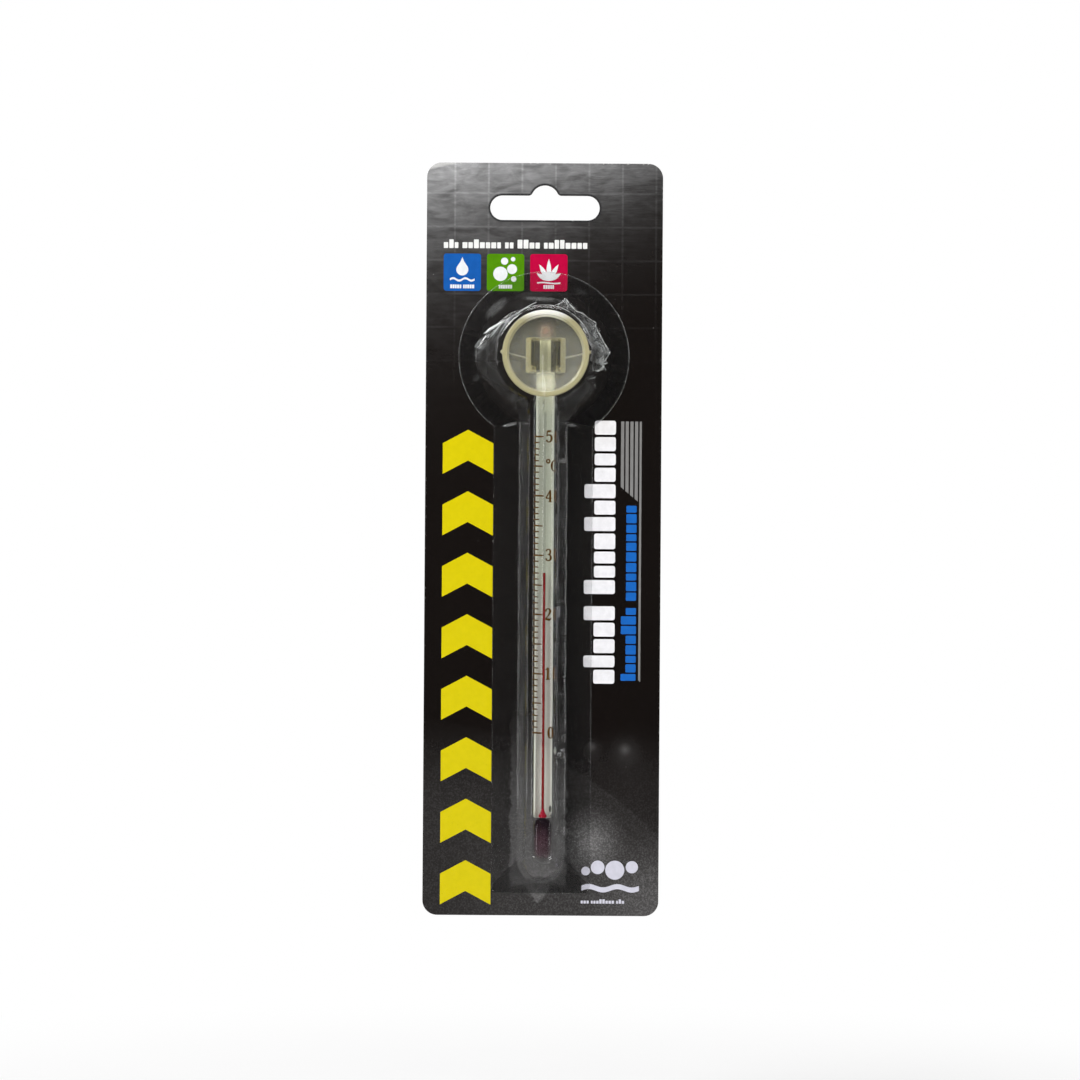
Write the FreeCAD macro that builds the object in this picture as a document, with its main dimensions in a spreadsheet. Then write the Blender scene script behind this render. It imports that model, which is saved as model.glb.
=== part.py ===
"""Glass stem aquarium thermometer with a suction cup, sealed under a clear blister on a hang card.

Row frame, millimetres: +Z up along the stem, +X to the right of the printed face, -Y out of the printed face.
The origin is the point of the hang slot that bears on a shop peg, in the middle of the board's thickness.
"Below" is measured down from that point, and "in front" is measured out from the middle of the board.
"""

import FreeCAD, Part
import math
import os

import Sketcher
from FreeCAD import Placement, Rotation, Vector

DIMENSIONS = [
    ("card_width", 69.0, "card, side to side"),
    ("card_height", 220.0, "card, top to bottom"),
    ("card_above", 6.5, "card's top edge above the peg"),
    ("card_corner", 4.3, "card's corner radius"),
    ("board_thick", 0.42, "grey board core"),
    ("sheet_thick", 0.08, "liner sheet on each side of the core"),
    ("slot_width", 32.0, "hang slot, end to end"),
    ("slot_depth", 7.2, "hang slot's straight part, top to bottom"),
    ("slot_drop", 3.0, "straight part's top edge, below"),
    ("hump_radius", 4.1, "round hump that sits on the peg"),
    ("hump_fillet", 1.3, "where the hump runs into the straight part"),
    ("aside", 0.5, "thermometer's axis, to the right of the card's middle"),
    ("stem_radius", 3.3, "solid glass stem"),
    ("stem_depth", 6.3, "stem's axis, in front"),
    ("stem_top", 41.0, "stem's upper end, below"),
    ("stem_end", 184.2, "stem's lower end, where the bulb is fused on, below"),
    ("stem_end_fillet", 0.6, "fire-polished lower edge of the stem"),
    ("bore_radius", 0.25, "capillary"),
    ("bore_top", 46.0, "capillary's closed end, below"),
    ("funnel_radius", 1.15, "mouth of the capillary at the bulb"),
    ("funnel_length", 2.6, "cone between the capillary and the bulb"),
    ("spirit_gap", 0.04, "spirit's running clearance from the glass"),
    ("strip_radius", 1.45, "white strip's inner radius about the stem's axis"),
    ("strip_thick", 0.3, "white strip's thickness"),
    ("strip_half_angle", 70.0, "half the white strip's width, in degrees"),
    ("strip_turn", 8.0, "stem's turn in its collar as packed, in degrees"),
    ("strip_margin", 0.4, "clear glass past each end of the white strip"),
    ("bulb_radius", 3.1, "bulb's outside"),
    ("bulb_tip", 198.1, "bulb's lower end, below"),
    ("bulb_wall", 0.85, "bulb's side wall"),
    ("bulb_floor", 2.0, "bulb's solid tip"),
    ("degree_pitch", 1.716, "one degree Celsius on the scale"),
    ("zero_mark", 159.5, "0 degree mark, below"),
    ("scale_top", 50.0, "highest mark, in degrees"),
    ("reading", 27.0, "what the column shows at rest, in degrees"),
    ("mark_height", 0.26, "a mark's line width"),
    ("mark_ink", 0.04, "fired ink's thickness"),
    ("mark_start", -80.0, "where each mark starts, degrees round the stem from its front"),
    ("short_mark_stop", -38.0, "where a one degree mark stops"),
    ("middle_mark_stop", -15.0, "where a five degree mark stops"),
    ("long_mark_stop", -4.0, "where a ten degree mark stops"),
    ("cup_centre", 50.1, "suction cup's centre, below"),
    ("cup_radius", 12.6, "suction cup's lip, outside"),
    ("cup_front", 17.9, "lip's face, in front"),
    ("cup_back", 11.4, "disc's back, in front"),
    ("disc_thick", 1.5, "disc at the cup's middle"),
    ("lip_width", 1.6, "flat face of the lip"),
    ("lip_height", 1.5, "lip's inner wall above the bowl"),
    ("lip_round", 0.35, "rounding of the lip's edges"),
    ("collar_radius", 5.8, "moulded collar round the stem, outside"),
    ("collar_length", 10.1, "moulded collar along the stem"),
    ("collar_gap", 0.04, "collar's running clearance round the stem"),
    ("neck_width", 5.2, "web that joins the collar to the disc"),
    ("weld", 0.4, "how far fused parts of one moulding run into each other"),
    ("flash_height", 0.3, "mould's parting line on the disc"),
    ("flash_width", 0.8, "parting line, into and out of the disc"),
    ("nib_reach", 0.55, "moulding nib past the lip on each side"),
    ("nib_radius", 0.75, "moulding nib at the lip"),
    ("seal_thick", 0.03, "heat-seal lacquer under the flange"),
    ("seal_gap", 0.02, "flange's clearance from the lacquer once peeled"),
    ("film", 0.35, "blister's wall"),
    ("flange_radius", 25.0, "round part of the blister's flange"),
    ("flange_half", 14.5, "half the straight part of the flange"),
    ("flange_end", 207.0, "flange's lower edge, below"),
    ("flange_corner", 2.0, "flange's lower corners"),
    ("dome_centre", 50.2, "dome's centre, below"),
    ("dome_base", 19.8, "dome's outside radius at the flange"),
    ("dome_crown", 13.9, "dome's outside radius at its flat top"),
    ("dome_height", 18.65, "dome's top, in front"),
    ("dome_round", 1.6, "rounding of the dome's top edge"),
    ("channel_base", 6.9, "half the channel's outside width at the flange"),
    ("channel_crown", 4.6, "half the channel's outside width at its top"),
    ("channel_height", 10.55, "channel's top, in front"),
    ("channel_end", 204.0, "channel's lower end at the flange, below"),
    ("channel_round", 1.2, "rounding of the channel's top edges"),
]

NEAR = 0.01  # how close two heights must be to count as the same when edges are chosen
ACROSS = Vector(1, 0, 0)
FORWARD = Vector(0, -1, 0)
UP = Vector(0, 0, 1)


class Size:
    """A number with the spreadsheet expression that gives it, so that features can be bound to it."""

    def __init__(self, value, text):
        self.value = value
        self.text = text

    def __neg__(self):
        return Size(-self.value, f"-({self.text})")

    def __add__(self, other):
        other = as_size(other)
        return Size(self.value + other.value, f"({self.text} + {other.text})")

    def __sub__(self, other):
        other = as_size(other)
        return Size(self.value - other.value, f"({self.text} - {other.text})")

    def __mul__(self, factor):
        factor = as_size(factor)
        return Size(self.value * factor.value, f"({self.text} * {factor.text})")

    def __truediv__(self, divisor):
        divisor = as_size(divisor)
        return Size(self.value / divisor.value, f"({self.text} / {divisor.text})")


def as_size(number):
    return number if isinstance(number, Size) else Size(float(number), f"({float(number)})")


def make_sheet(doc):
    """The spreadsheet of driving dimensions, each cell with an alias."""
    sheet = doc.addObject("Spreadsheet::Sheet", "Dims")
    for row, (alias, value, meaning) in enumerate(DIMENSIONS, start=1):
        sheet.set(f"A{row}", meaning)
        sheet.set(f"B{row}", str(value))
        sheet.setAlias(f"B{row}", alias)
    doc.recompute()
    return sheet


DOC = FreeCAD.newDocument("Thermometer")
SHEET = make_sheet(DOC)
DIM = {alias: Size(float(SHEET.get(alias)), f"Dims.{alias}") for alias, _, _ in DIMENSIONS}

CARD_FACE = DIM["board_thick"] / 2 + DIM["sheet_thick"]  # the printed face, in front
FLANGE_BACK = CARD_FACE + DIM["seal_thick"] + DIM["seal_gap"]  # the flange's sealed face, in front
COLUMN_RADIUS = DIM["bore_radius"] - DIM["spirit_gap"]
COLUMN_FOOT = DIM["funnel_length"] - DIM["stem_end"]


# Binding, sketches and features


def bind(thing, **sizes):
    """Binds properties of an object to sizes on the sheet. Two underscores stand for a dot."""
    for name, amount in sizes.items():
        thing.setExpression(name.replace("__", "."), as_size(amount).text)
    return thing


def place(thing, across=0, forward=0, up=0):
    """Places an object by sizes across, in front of and above the frame's origin."""
    bind(thing, Placement__Base__x=across)
    bind(thing, Placement__Base__y=-as_size(forward))
    return bind(thing, Placement__Base__z=up)


def new_sketch(body, name, role="XZ_Plane"):
    """A sketch on one of the body's own origin planes."""
    plane = next(f for f in body.Origin.OriginFeatures if f.Role == role)
    sketch = body.newObject("Sketcher::SketchObject", name)
    sketch.AttachmentSupport = [(plane, "")]
    sketch.MapMode = "FlatFace"
    return sketch


def pin(sketch, geometry, point, across, up):
    """Holds one point of a sketch at two sizes, measured from the sketch's origin."""
    for kind, amount, axis in (("DistanceX", as_size(across), -2), ("DistanceY", as_size(up), -1)):
        if abs(amount.value) < 1e-9:
            sketch.addConstraint(Sketcher.Constraint("PointOnObject", geometry, point, axis))
            continue
        forwards = amount.value > 0
        ends = (-1, 1, geometry, point) if forwards else (geometry, point, -1, 1)
        index = sketch.addConstraint(Sketcher.Constraint(kind, *ends, abs(amount.value)))
        sketch.setExpression(f"Constraints[{index}]", (amount if forwards else -amount).text)


def polygon(sketch, corners):
    """A closed outline of straight lines through corners, each a pair of sizes."""
    at = [Vector(as_size(across).value, as_size(up).value, 0) for across, up in corners]
    count = len(at)
    for i in range(count):
        sketch.addGeometry(Part.LineSegment(at[i], at[(i + 1) % count]))
    for i in range(count):
        sketch.addConstraint(Sketcher.Constraint("Coincident", i, 2, (i + 1) % count, 1))
    for i, (across, up) in enumerate(corners):
        pin(sketch, i, 1, across, up)


def pad(body, sketch, length):
    feature = body.newObject("PartDesign::Pad", sketch.Name + "_pad")
    feature.Profile = sketch
    return bind(feature, Length=length)


def cut_through(body, sketch):
    """A pocket through everything, both ways from the sketch."""
    feature = body.newObject("PartDesign::Pocket", sketch.Name + "_pocket")
    feature.Profile = sketch
    feature.Type = "ThroughAll"
    feature.Midplane = True
    return feature


def turned(body, sketch, kind="PartDesign::Revolution"):
    """Turns a sketch a full turn about its own vertical axis."""
    feature = body.newObject(kind, sketch.Name + "_turned")
    feature.Profile = sketch
    feature.ReferenceAxis = (sketch, ["V_Axis"])
    feature.Angle = 360
    return feature


def rounded(body, chosen, radius):
    """A fillet on those edges of the body's tip that the test chooses."""
    DOC.recompute()
    base = body.Tip
    names = [f"Edge{i}" for i, edge in enumerate(base.Shape.Edges, start=1) if chosen(edge)]
    feature = body.newObject("PartDesign::Fillet", f"{body.Name}_round_{len(body.Group)}")
    feature.Base = (base, names)
    return bind(feature, Radius=radius)


def along(direction):
    """A test for straight edges along a direction."""

    def test(edge):
        return isinstance(edge.Curve, Part.Line) and abs(abs(edge.Curve.Direction.dot(direction)) - 1) < 1e-6

    return test


def rings_at(direction, distance):
    """A test for round edges whose centre lies at a distance along a direction."""

    def test(edge):
        return isinstance(edge.Curve, Part.Circle) and abs(edge.CenterOfMass.dot(direction) - distance) < NEAR

    return test


def rectangle(sketch, half_width, bottom, top):
    polygon(sketch, [(-half_width, bottom), (half_width, bottom), (half_width, top), (-half_width, top)])


def fuse(name, shapes):
    feature = DOC.addObject("Part::MultiFuse", name)
    feature.Shapes = shapes
    return feature


def cut(name, base, tool):
    feature = DOC.addObject("Part::Cut", name)
    feature.Base = base
    feature.Tool = tool
    return feature


def cylinder(name, radius, height):
    return bind(DOC.addObject("Part::Cylinder", name), Radius=radius, Height=height)


def box(name, length, width, height):
    return bind(DOC.addObject("Part::Box", name), Length=length, Width=width, Height=height)


# The hang card: a board core with a liner sheet on each side


def card_layer(label, thickness, back):
    """One layer of the card, from its back plane forwards, with the hang slot cut out."""
    body = DOC.addObject("PartDesign::Body", label)
    outline = new_sketch(body, label + "_outline")
    rectangle(outline, DIM["card_width"] / 2, DIM["card_above"] - DIM["card_height"], DIM["card_above"])
    pad(body, outline, thickness)
    through = along(FORWARD)
    rounded(body, through, DIM["card_corner"])
    slot = new_sketch(body, label + "_slot")
    slot_outline(slot)
    cut_through(body, slot)
    hump = new_sketch(body, label + "_hump")
    hump_outline(hump)
    cut_through(body, hump)

    def beside_hump(edge):
        centre = edge.CenterOfMass
        in_line = abs(centre.z + DIM["slot_drop"].value) < NEAR
        return through(edge) and in_line and abs(centre.x) < DIM["hump_radius"].value

    rounded(body, beside_hump, DIM["hump_fillet"])
    return place(body, forward=back)


def slot_outline(sketch):
    """The straight part of the hang slot: two lines and two half circles."""
    radius = DIM["slot_depth"] / 2
    reach = DIM["slot_width"] / 2 - radius
    middle = -DIM["slot_drop"] - radius
    left, right = Vector(-reach.value, middle.value, 0), Vector(reach.value, middle.value, 0)
    rise = Vector(0, radius.value, 0)
    quarter = math.pi / 2
    sketch.addGeometry(Part.LineSegment(left + rise, right + rise))
    sketch.addGeometry(Part.ArcOfCircle(Part.Circle(right, UP, radius.value), -quarter, quarter))
    sketch.addGeometry(Part.LineSegment(right - rise, left - rise))
    sketch.addGeometry(Part.ArcOfCircle(Part.Circle(left, UP, radius.value), quarter, 3 * quarter))
    for first, end, second, start in ((0, 2, 1, 2), (1, 1, 2, 1), (2, 2, 3, 2), (3, 1, 0, 1)):
        sketch.addConstraint(Sketcher.Constraint("Tangent", first, end, second, start))
    pin(sketch, 1, 3, reach, middle)
    pin(sketch, 3, 3, -reach, middle)
    held = sketch.addConstraint(Sketcher.Constraint("Radius", 1, radius.value))
    sketch.setExpression(f"Constraints[{held}]", radius.text)


def hump_outline(sketch):
    """The round hump above the middle of the slot: a circle that touches the origin from below."""
    radius = DIM["hump_radius"]
    index = sketch.addGeometry(Part.Circle(Vector(0, -radius.value, 0), UP, radius.value))
    pin(sketch, index, 3, 0, -radius)
    held = sketch.addConstraint(Sketcher.Constraint("Radius", index, radius.value))
    sketch.setExpression(f"Constraints[{held}]", radius.text)


def make_card():
    half = DIM["board_thick"] / 2
    sheet = DIM["sheet_thick"]
    return [
        card_layer("card_board", DIM["board_thick"], -half),
        card_layer("front_print_sheet", sheet, half),
        card_layer("back_liner_sheet", sheet, -half - sheet),
    ]


# The stem and what it holds, drawn about the frame's axis and then moved out to the stem's own axis


def on_stem(thing, up=0):
    return place(thing, DIM["aside"], DIM["stem_depth"], up)


def stem_blank():
    """The glass rod with its domed top, capillary and funnel."""
    body = DOC.addObject("PartDesign::Body", "stem_blank")
    rod = new_sketch(body, "rod")
    radius, top, end = DIM["stem_radius"], -DIM["stem_top"], -DIM["stem_end"]
    polygon(rod, [(0, end), (radius, end), (radius, top), (0, top)])
    turned(body, rod)
    rounded(body, rings_at(UP, top.value), radius * 0.85)
    rounded(body, rings_at(UP, end.value), DIM["stem_end_fillet"])
    bore = new_sketch(body, "bore")
    narrow = DIM["bore_radius"]
    closed_end = -DIM["bore_top"]
    mouth = (DIM["funnel_radius"], end)
    polygon(bore, [(0, end), mouth, (narrow, COLUMN_FOOT), (narrow, closed_end), (0, closed_end)])
    turned(body, bore, "PartDesign::Groove")
    return on_stem(body)


def enamel_strip(name):
    """The white strip drawn into the glass behind the capillary: part of a thin tube."""
    length = DIM["stem_end"] - DIM["stem_top"] - DIM["strip_margin"] * 2
    outer = cylinder(name + "_outside", DIM["strip_radius"] + DIM["strip_thick"], length)
    bind(outer, Angle=DIM["strip_half_angle"] * 2)
    inner = cylinder(name + "_inside", DIM["strip_radius"], length)
    # A cylinder's open angle starts at +X, and +Y is straight behind the capillary.
    start = 90 + DIM["strip_turn"].value - DIM["strip_half_angle"].value
    outer.Placement = Placement(Vector(), Rotation(UP, start))
    for part in (outer, inner):
        on_stem(part, DIM["strip_margin"] - DIM["stem_end"])
    return cut(name, outer, inner)


def glass_stem():
    return cut("glass_stem", stem_blank(), enamel_strip("strip_slot"))


def bulb_glass():
    """The bulb: a closed tube with a solid round tip, fused under the stem."""
    body = DOC.addObject("PartDesign::Body", "bulb_glass")
    wall = new_sketch(body, "bulb_wall")
    outside, inside = DIM["bulb_radius"], DIM["bulb_radius"] - DIM["bulb_wall"]
    tip, end = -DIM["bulb_tip"], -DIM["stem_end"]
    floor = DIM["bulb_floor"] + tip
    polygon(wall, [(0, tip), (outside, tip), (outside, end), (inside, end), (inside, floor), (0, floor)])
    turned(body, wall)
    rounded(body, rings_at(UP, tip.value), outside * 0.9)
    rounded(body, rings_at(UP, floor.value), DIM["bulb_wall"] * 1.6)
    return on_stem(body)


def spirit_fill():
    """The dyed spirit in the bulb, up to the top of the funnel."""
    body = DOC.addObject("PartDesign::Body", "spirit_fill")
    profile = new_sketch(body, "fill_profile")
    gap = DIM["spirit_gap"]
    side = DIM["bulb_radius"] - DIM["bulb_wall"] - gap
    floor = DIM["bulb_floor"] + gap - DIM["bulb_tip"]
    roof = -DIM["stem_end"] - gap
    neck = COLUMN_FOOT - gap
    shoulder = (DIM["funnel_radius"] - gap * 2, roof)
    polygon(profile, [(0, floor), (side, floor), (side, roof), shoulder, (COLUMN_RADIUS, neck), (0, neck)])
    turned(body, profile)
    rounded(body, rings_at(UP, floor.value), DIM["bulb_wall"] * 1.6)
    return on_stem(body)


def spirit_column():
    """The thread of spirit in the capillary, from the funnel up to the reading."""
    surface = DIM["reading"] * DIM["degree_pitch"] - DIM["zero_mark"]
    return on_stem(cylinder("spirit_column", COLUMN_RADIUS, surface - COLUMN_FOOT), COLUMN_FOOT)


def scale_marks(label, stop, degrees):
    """Lines of fired ink at the degrees given, each bent round the front left of the stem."""
    inner = DIM["stem_radius"].value
    outer = inner + DIM["mark_ink"].value
    tall = DIM["mark_height"].value
    start = DIM["mark_start"].value
    marks = []
    for degree in degrees:
        up = degree * DIM["degree_pitch"].value - DIM["zero_mark"].value - tall / 2
        foot = ACROSS * DIM["aside"].value + FORWARD * DIM["stem_depth"].value + UP * up
        ring = Part.makeCylinder(outer, tall, foot, UP, stop.value - start)
        mark = ring.cut(Part.makeCylinder(inner, tall, foot))
        mark.rotate(foot, UP, start - 90)
        marks.append(mark)
    feature = DOC.addObject("Part::Feature", label)
    feature.Shape = Part.makeCompound(marks)
    return feature


def make_scale():
    degrees = range(int(DIM["scale_top"].value) + 1)
    return [
        scale_marks("one_degree_marks", DIM["short_mark_stop"], [d for d in degrees if d % 5]),
        scale_marks("five_degree_marks", DIM["middle_mark_stop"], [d for d in degrees if d % 10 == 5]),
        scale_marks("ten_degree_marks", DIM["long_mark_stop"], [d for d in degrees if d % 10 == 0]),
    ]


# The suction cup: one moulding of soft clear PVC, its bowl facing forwards and its collar round the stem


def cup_dish():
    """The disc and lip, turned about the axis that points out of the card."""
    body = DOC.addObject("PartDesign::Body", "cup_dish")
    profile = new_sketch(body, "dish_profile", "XY_Plane")
    back, front, rim = DIM["cup_back"], DIM["cup_front"], DIM["cup_radius"]
    bowl = back + DIM["disc_thick"]
    step = bowl + DIM["lip_height"]
    polygon(
        profile,
        [
            (0, back),
            (rim * 0.72, back + 0.6),
            (rim - 0.5, bowl + 1.0),
            (rim, front),
            (rim - DIM["lip_width"], front),
            (rim - DIM["lip_width"] - 0.9, step),
            (rim * 0.66, bowl + 0.2),
            (0, bowl),
        ],
    )
    turned(body, profile)
    along_y = Vector(0, 1, 0)
    rounded(body, rings_at(along_y, front.value), DIM["lip_round"])
    rounded(body, rings_at(along_y, step.value), 1.2)
    body.Placement = Placement(Vector(), Rotation(UP, 180))
    return place(body, DIM["aside"], 0, -DIM["cup_centre"])


def parting_line(name, side):
    """The mould's parting line on one side of the collar, just proud of the disc's back."""
    inner = DIM["collar_radius"] - DIM["weld"]
    reach = DIM["cup_radius"] * 0.72 + DIM["weld"] - inner
    line = box(name, reach, DIM["flash_width"], DIM["flash_height"])
    start = inner if side > 0 else -inner - reach
    depth = DIM["cup_back"] + DIM["flash_width"] * 0.8
    return place(line, DIM["aside"] + start, depth, -DIM["cup_centre"] - DIM["flash_height"] / 2)


def moulding_nib(name, side):
    """The nib that the mould leaves on one side of the lip."""
    nib = DOC.addObject("Part::Cone", name)
    weld = DIM["weld"] + 0.2
    bind(nib, Radius1=DIM["nib_radius"], Radius2=DIM["nib_radius"] / 5, Height=DIM["nib_reach"] + weld)
    nib.Placement = Placement(Vector(), Rotation(Vector(0, 1, 0), side * 90))
    start = (DIM["cup_radius"] - weld) * side
    return place(nib, DIM["aside"] + start, DIM["cup_front"] - 1.3, -DIM["cup_centre"])


def suction_cup():
    length = DIM["collar_length"]
    low = -DIM["cup_centre"] - length / 2
    collar = on_stem(cylinder("collar", DIM["collar_radius"], length), low)
    into_disc = DIM["cup_back"] + DIM["weld"]
    neck = box("neck", DIM["neck_width"], into_disc - DIM["stem_depth"], length)
    place(neck, DIM["aside"] - DIM["neck_width"] / 2, into_disc, low)
    marks = [parting_line("left_parting_line", -1), parting_line("right_parting_line", 1)]
    marks += [moulding_nib("left_nib", -1), moulding_nib("right_nib", 1)]
    solid = fuse("cup_solid", [cup_dish(), collar, neck, *marks])
    bore = cylinder("collar_bore", DIM["stem_radius"] + DIM["collar_gap"], length + 2)
    return cut("suction_cup", solid, on_stem(bore, low - 1))


# The blister: one thin clear sheet, formed into a dome over the cup and a channel over the stem


def dome(name, inset):
    """The dome as a solid: its outside surface for no inset, its inside surface for the film's thickness."""
    body = DOC.addObject("PartDesign::Body", name)
    profile = new_sketch(body, name + "_profile", "XY_Plane")
    front = DIM["dome_height"] - inset
    base, crown = DIM["dome_base"] - inset, DIM["dome_crown"] - inset
    polygon(profile, [(0, FLANGE_BACK), (base, FLANGE_BACK), (crown, front), (0, front)])
    turned(body, profile)
    rounded(body, rings_at(Vector(0, 1, 0), front.value), DIM["dome_round"] - inset / 2)
    body.Placement = Placement(Vector(), Rotation(UP, 180))
    return place(body, up=-DIM["dome_centre"])


def channel_outline(half, forward):
    """A closed outline at one distance forward: straight sides from the dome's centre, half round below."""
    top = -DIM["dome_centre"].value
    centre = DIM["channel_base"].value - DIM["channel_end"].value
    out = FORWARD * forward
    left, right = ACROSS * -half + out, ACROSS * half + out
    corners = [right + UP * centre, right + UP * top, left + UP * top, left + UP * centre]
    edges = [Part.makeLine(a, b) for a, b in zip(corners, corners[1:])]
    edges.append(Part.Arc(corners[3], out + UP * (centre - half), corners[0]).toShape())
    return Part.Wire(edges)


def channel(name, inset):
    """The channel as a solid with sloping sides and a half-round lower end, for the same two insets."""
    front = (DIM["channel_height"] - inset).value
    base = channel_outline((DIM["channel_base"] - inset).value, FLANGE_BACK.value)
    crown = channel_outline((DIM["channel_crown"] - inset).value, front)
    solid = Part.makeLoft([base, crown], True, True)

    def on_crown(edge):
        below_dome = edge.CenterOfMass.z < -DIM["dome_centre"].value - NEAR
        return below_dome and all(abs(corner.Point.y + front) < NEAR for corner in edge.Vertexes)

    feature = DOC.addObject("Part::Feature", name)
    radius = (DIM["channel_round"] - inset / 2).value
    feature.Shape = solid.makeFillet(radius, [edge for edge in solid.Edges if on_crown(edge)])
    return feature


def flange(name, back, thickness):
    """A flat sheet of the flange's outline: a disc round the dome and a strip round the channel."""
    disc = cylinder(name + "_disc", DIM["flange_radius"], thickness)
    disc.Placement = Placement(Vector(), Rotation(ACROSS, 90))
    place(disc, forward=back, up=-DIM["dome_centre"])
    body = DOC.addObject("PartDesign::Body", name + "_strip")
    outline = new_sketch(body, name + "_strip_outline")
    rectangle(outline, DIM["flange_half"], -DIM["flange_end"], -DIM["dome_centre"])
    pad(body, outline, thickness)
    straight = along(FORWARD)
    low = -DIM["dome_centre"].value - NEAR
    rounded(body, lambda edge: straight(edge) and edge.CenterOfMass.z < low, DIM["flange_corner"])
    return [disc, place(body, forward=back)]


def heat_seal():
    """The band of lacquer that holds the flange to the card, open under the dome and the channel."""
    band = fuse("seal_sheet", flange("seal", CARD_FACE, DIM["seal_thick"]))
    under_dome = cylinder("under_dome", DIM["dome_base"], 2)
    under_dome.Placement = Placement(Vector(), Rotation(ACROSS, 90))
    place(under_dome, up=-DIM["dome_centre"])
    under_channel = DOC.addObject("Part::Feature", "under_channel")
    outline = Part.Face(channel_outline(DIM["channel_base"].value, 0))
    under_channel.Shape = outline.extrude(FORWARD * 2)
    return cut("heat_seal_band", band, fuse("seal_window", [under_dome, under_channel]))


def blister():
    film = DIM["film"]
    formed = [dome("dome_outside", as_size(0)), channel("channel_outside", as_size(0))]
    outside = fuse("blister_outside", [*formed, *flange("flange", FLANGE_BACK, film)])
    inside = fuse("blister_inside", [dome("dome_inside", film), channel("channel_inside", film)])
    return cut("blister", outside, inside)


def check(parts):
    """Stops with a message if any object failed or any sub-part's shape is missing or broken."""
    DOC.recompute()
    failed = [thing.Name for thing in DOC.Objects if {"Invalid", "Error"} & set(thing.State)]
    if failed:
        raise RuntimeError(f"these objects failed: {failed}")
    for part in parts:
        shape = part.Shape
        if shape.isNull() or not shape.isValid() or not shape.Solids:
            raise RuntimeError(f"{part.Label} has no valid solid")


def write(parts):
    """Writes each sub-part to its own STEP file and prints its solids, volume and box."""
    os.makedirs("parts", exist_ok=True)
    for part in parts:
        shape = part.Shape
        shape.exportStep(f"parts/{part.Label}.step")
        bounds = shape.optimalBoundingBox()
        spans = f"x {bounds.XMin:.2f} {bounds.XMax:.2f} y {bounds.YMin:.2f} {bounds.YMax:.2f}"
        print(f"{part.Label}: {len(shape.Solids)} solids, {shape.Volume:.2f} mm3, {spans}", end=" ")
        print(f"z {bounds.ZMin:.2f} {bounds.ZMax:.2f}")


def main():
    card = [*make_card(), heat_seal()]
    stem = [glass_stem(), enamel_strip("enamel_strip"), bulb_glass(), spirit_fill(), *make_scale()]
    parts = [*card, blister(), suction_cup(), *stem, spirit_column()]
    check(parts)
    write(parts)


main()
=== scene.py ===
"""Looks for the glass aquarium thermometer in its blister pack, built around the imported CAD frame.

Row frame: +Z up along the stem, +X right, -Y out of the printed face. Lengths here are in millimetres, except
where a name ends in _M, and become metres only as a mesh is made.
"""

import math
import random

import bmesh
import bpy
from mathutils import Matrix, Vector, noise

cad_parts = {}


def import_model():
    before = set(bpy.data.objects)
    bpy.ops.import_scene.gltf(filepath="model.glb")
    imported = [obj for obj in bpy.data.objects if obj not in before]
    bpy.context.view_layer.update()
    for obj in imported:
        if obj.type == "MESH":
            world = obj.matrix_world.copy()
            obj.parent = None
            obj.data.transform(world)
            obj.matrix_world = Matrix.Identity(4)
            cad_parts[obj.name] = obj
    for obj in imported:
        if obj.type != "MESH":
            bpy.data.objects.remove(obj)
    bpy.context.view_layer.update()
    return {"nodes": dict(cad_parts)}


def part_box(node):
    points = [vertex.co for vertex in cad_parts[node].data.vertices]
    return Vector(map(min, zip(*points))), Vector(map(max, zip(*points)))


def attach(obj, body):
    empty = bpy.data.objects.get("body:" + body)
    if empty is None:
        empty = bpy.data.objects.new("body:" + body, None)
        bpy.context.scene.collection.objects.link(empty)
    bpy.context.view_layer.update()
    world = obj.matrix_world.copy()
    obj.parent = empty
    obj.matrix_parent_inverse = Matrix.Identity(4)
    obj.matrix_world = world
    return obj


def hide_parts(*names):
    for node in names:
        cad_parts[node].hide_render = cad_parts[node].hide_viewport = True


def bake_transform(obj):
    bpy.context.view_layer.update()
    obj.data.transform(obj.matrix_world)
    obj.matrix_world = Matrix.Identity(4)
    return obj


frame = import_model()

MM = 0.001


def cad_box(node):
    """Lowest and highest corner of a CAD node, in millimetres."""
    low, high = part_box(node)
    return low / MM, high / MM


# Places and sizes that the frame gives

CARD_LOW, CARD_HIGH = cad_box("front_print_sheet")
FACE = -CARD_LOW.y  # the printed face, in front of the frame's origin
STEM_LOW, STEM_HIGH = cad_box("glass_stem")
STEM_X = (STEM_LOW.x + STEM_HIGH.x) / 2
STEM_FORWARD = -(STEM_LOW.y + STEM_HIGH.y) / 2
STEM_R = (STEM_HIGH.x - STEM_LOW.x) / 2
BULB_LOW, BULB_HIGH = cad_box("bulb_glass")
BULB_R = (BULB_HIGH.x - BULB_LOW.x) / 2
ENAMEL_LOW, ENAMEL_HIGH = cad_box("enamel_strip")
COLUMN_LOW, COLUMN_HIGH = cad_box("spirit_column")
CUP_LOW, CUP_HIGH = cad_box("suction_cup")
CUP_Z = (CUP_LOW.z + CUP_HIGH.z) / 2
CUP_R = (CUP_HIGH.z - CUP_LOW.z) / 2
CUP_FRONT = -CUP_LOW.y
BLISTER_LOW, BLISTER_HIGH = cad_box("blister")
TEN_LOW, TEN_HIGH = cad_box("ten_degree_marks")
DEGREE = (TEN_HIGH.z - TEN_LOW.z - 0.26) / 50
ZERO_Z = TEN_LOW.z + 0.13


# Materials: small procedural networks on object coordinates, in millimetres


def srgb(red, green, blue):
    """A display colour of 0 to 255 as the linear colour that shaders take."""

    def linear(level):
        level /= 255
        return level / 12.92 if level <= 0.04045 else ((level + 0.055) / 1.055) ** 2.4

    return (linear(red), linear(green), linear(blue), 1.0)


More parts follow.
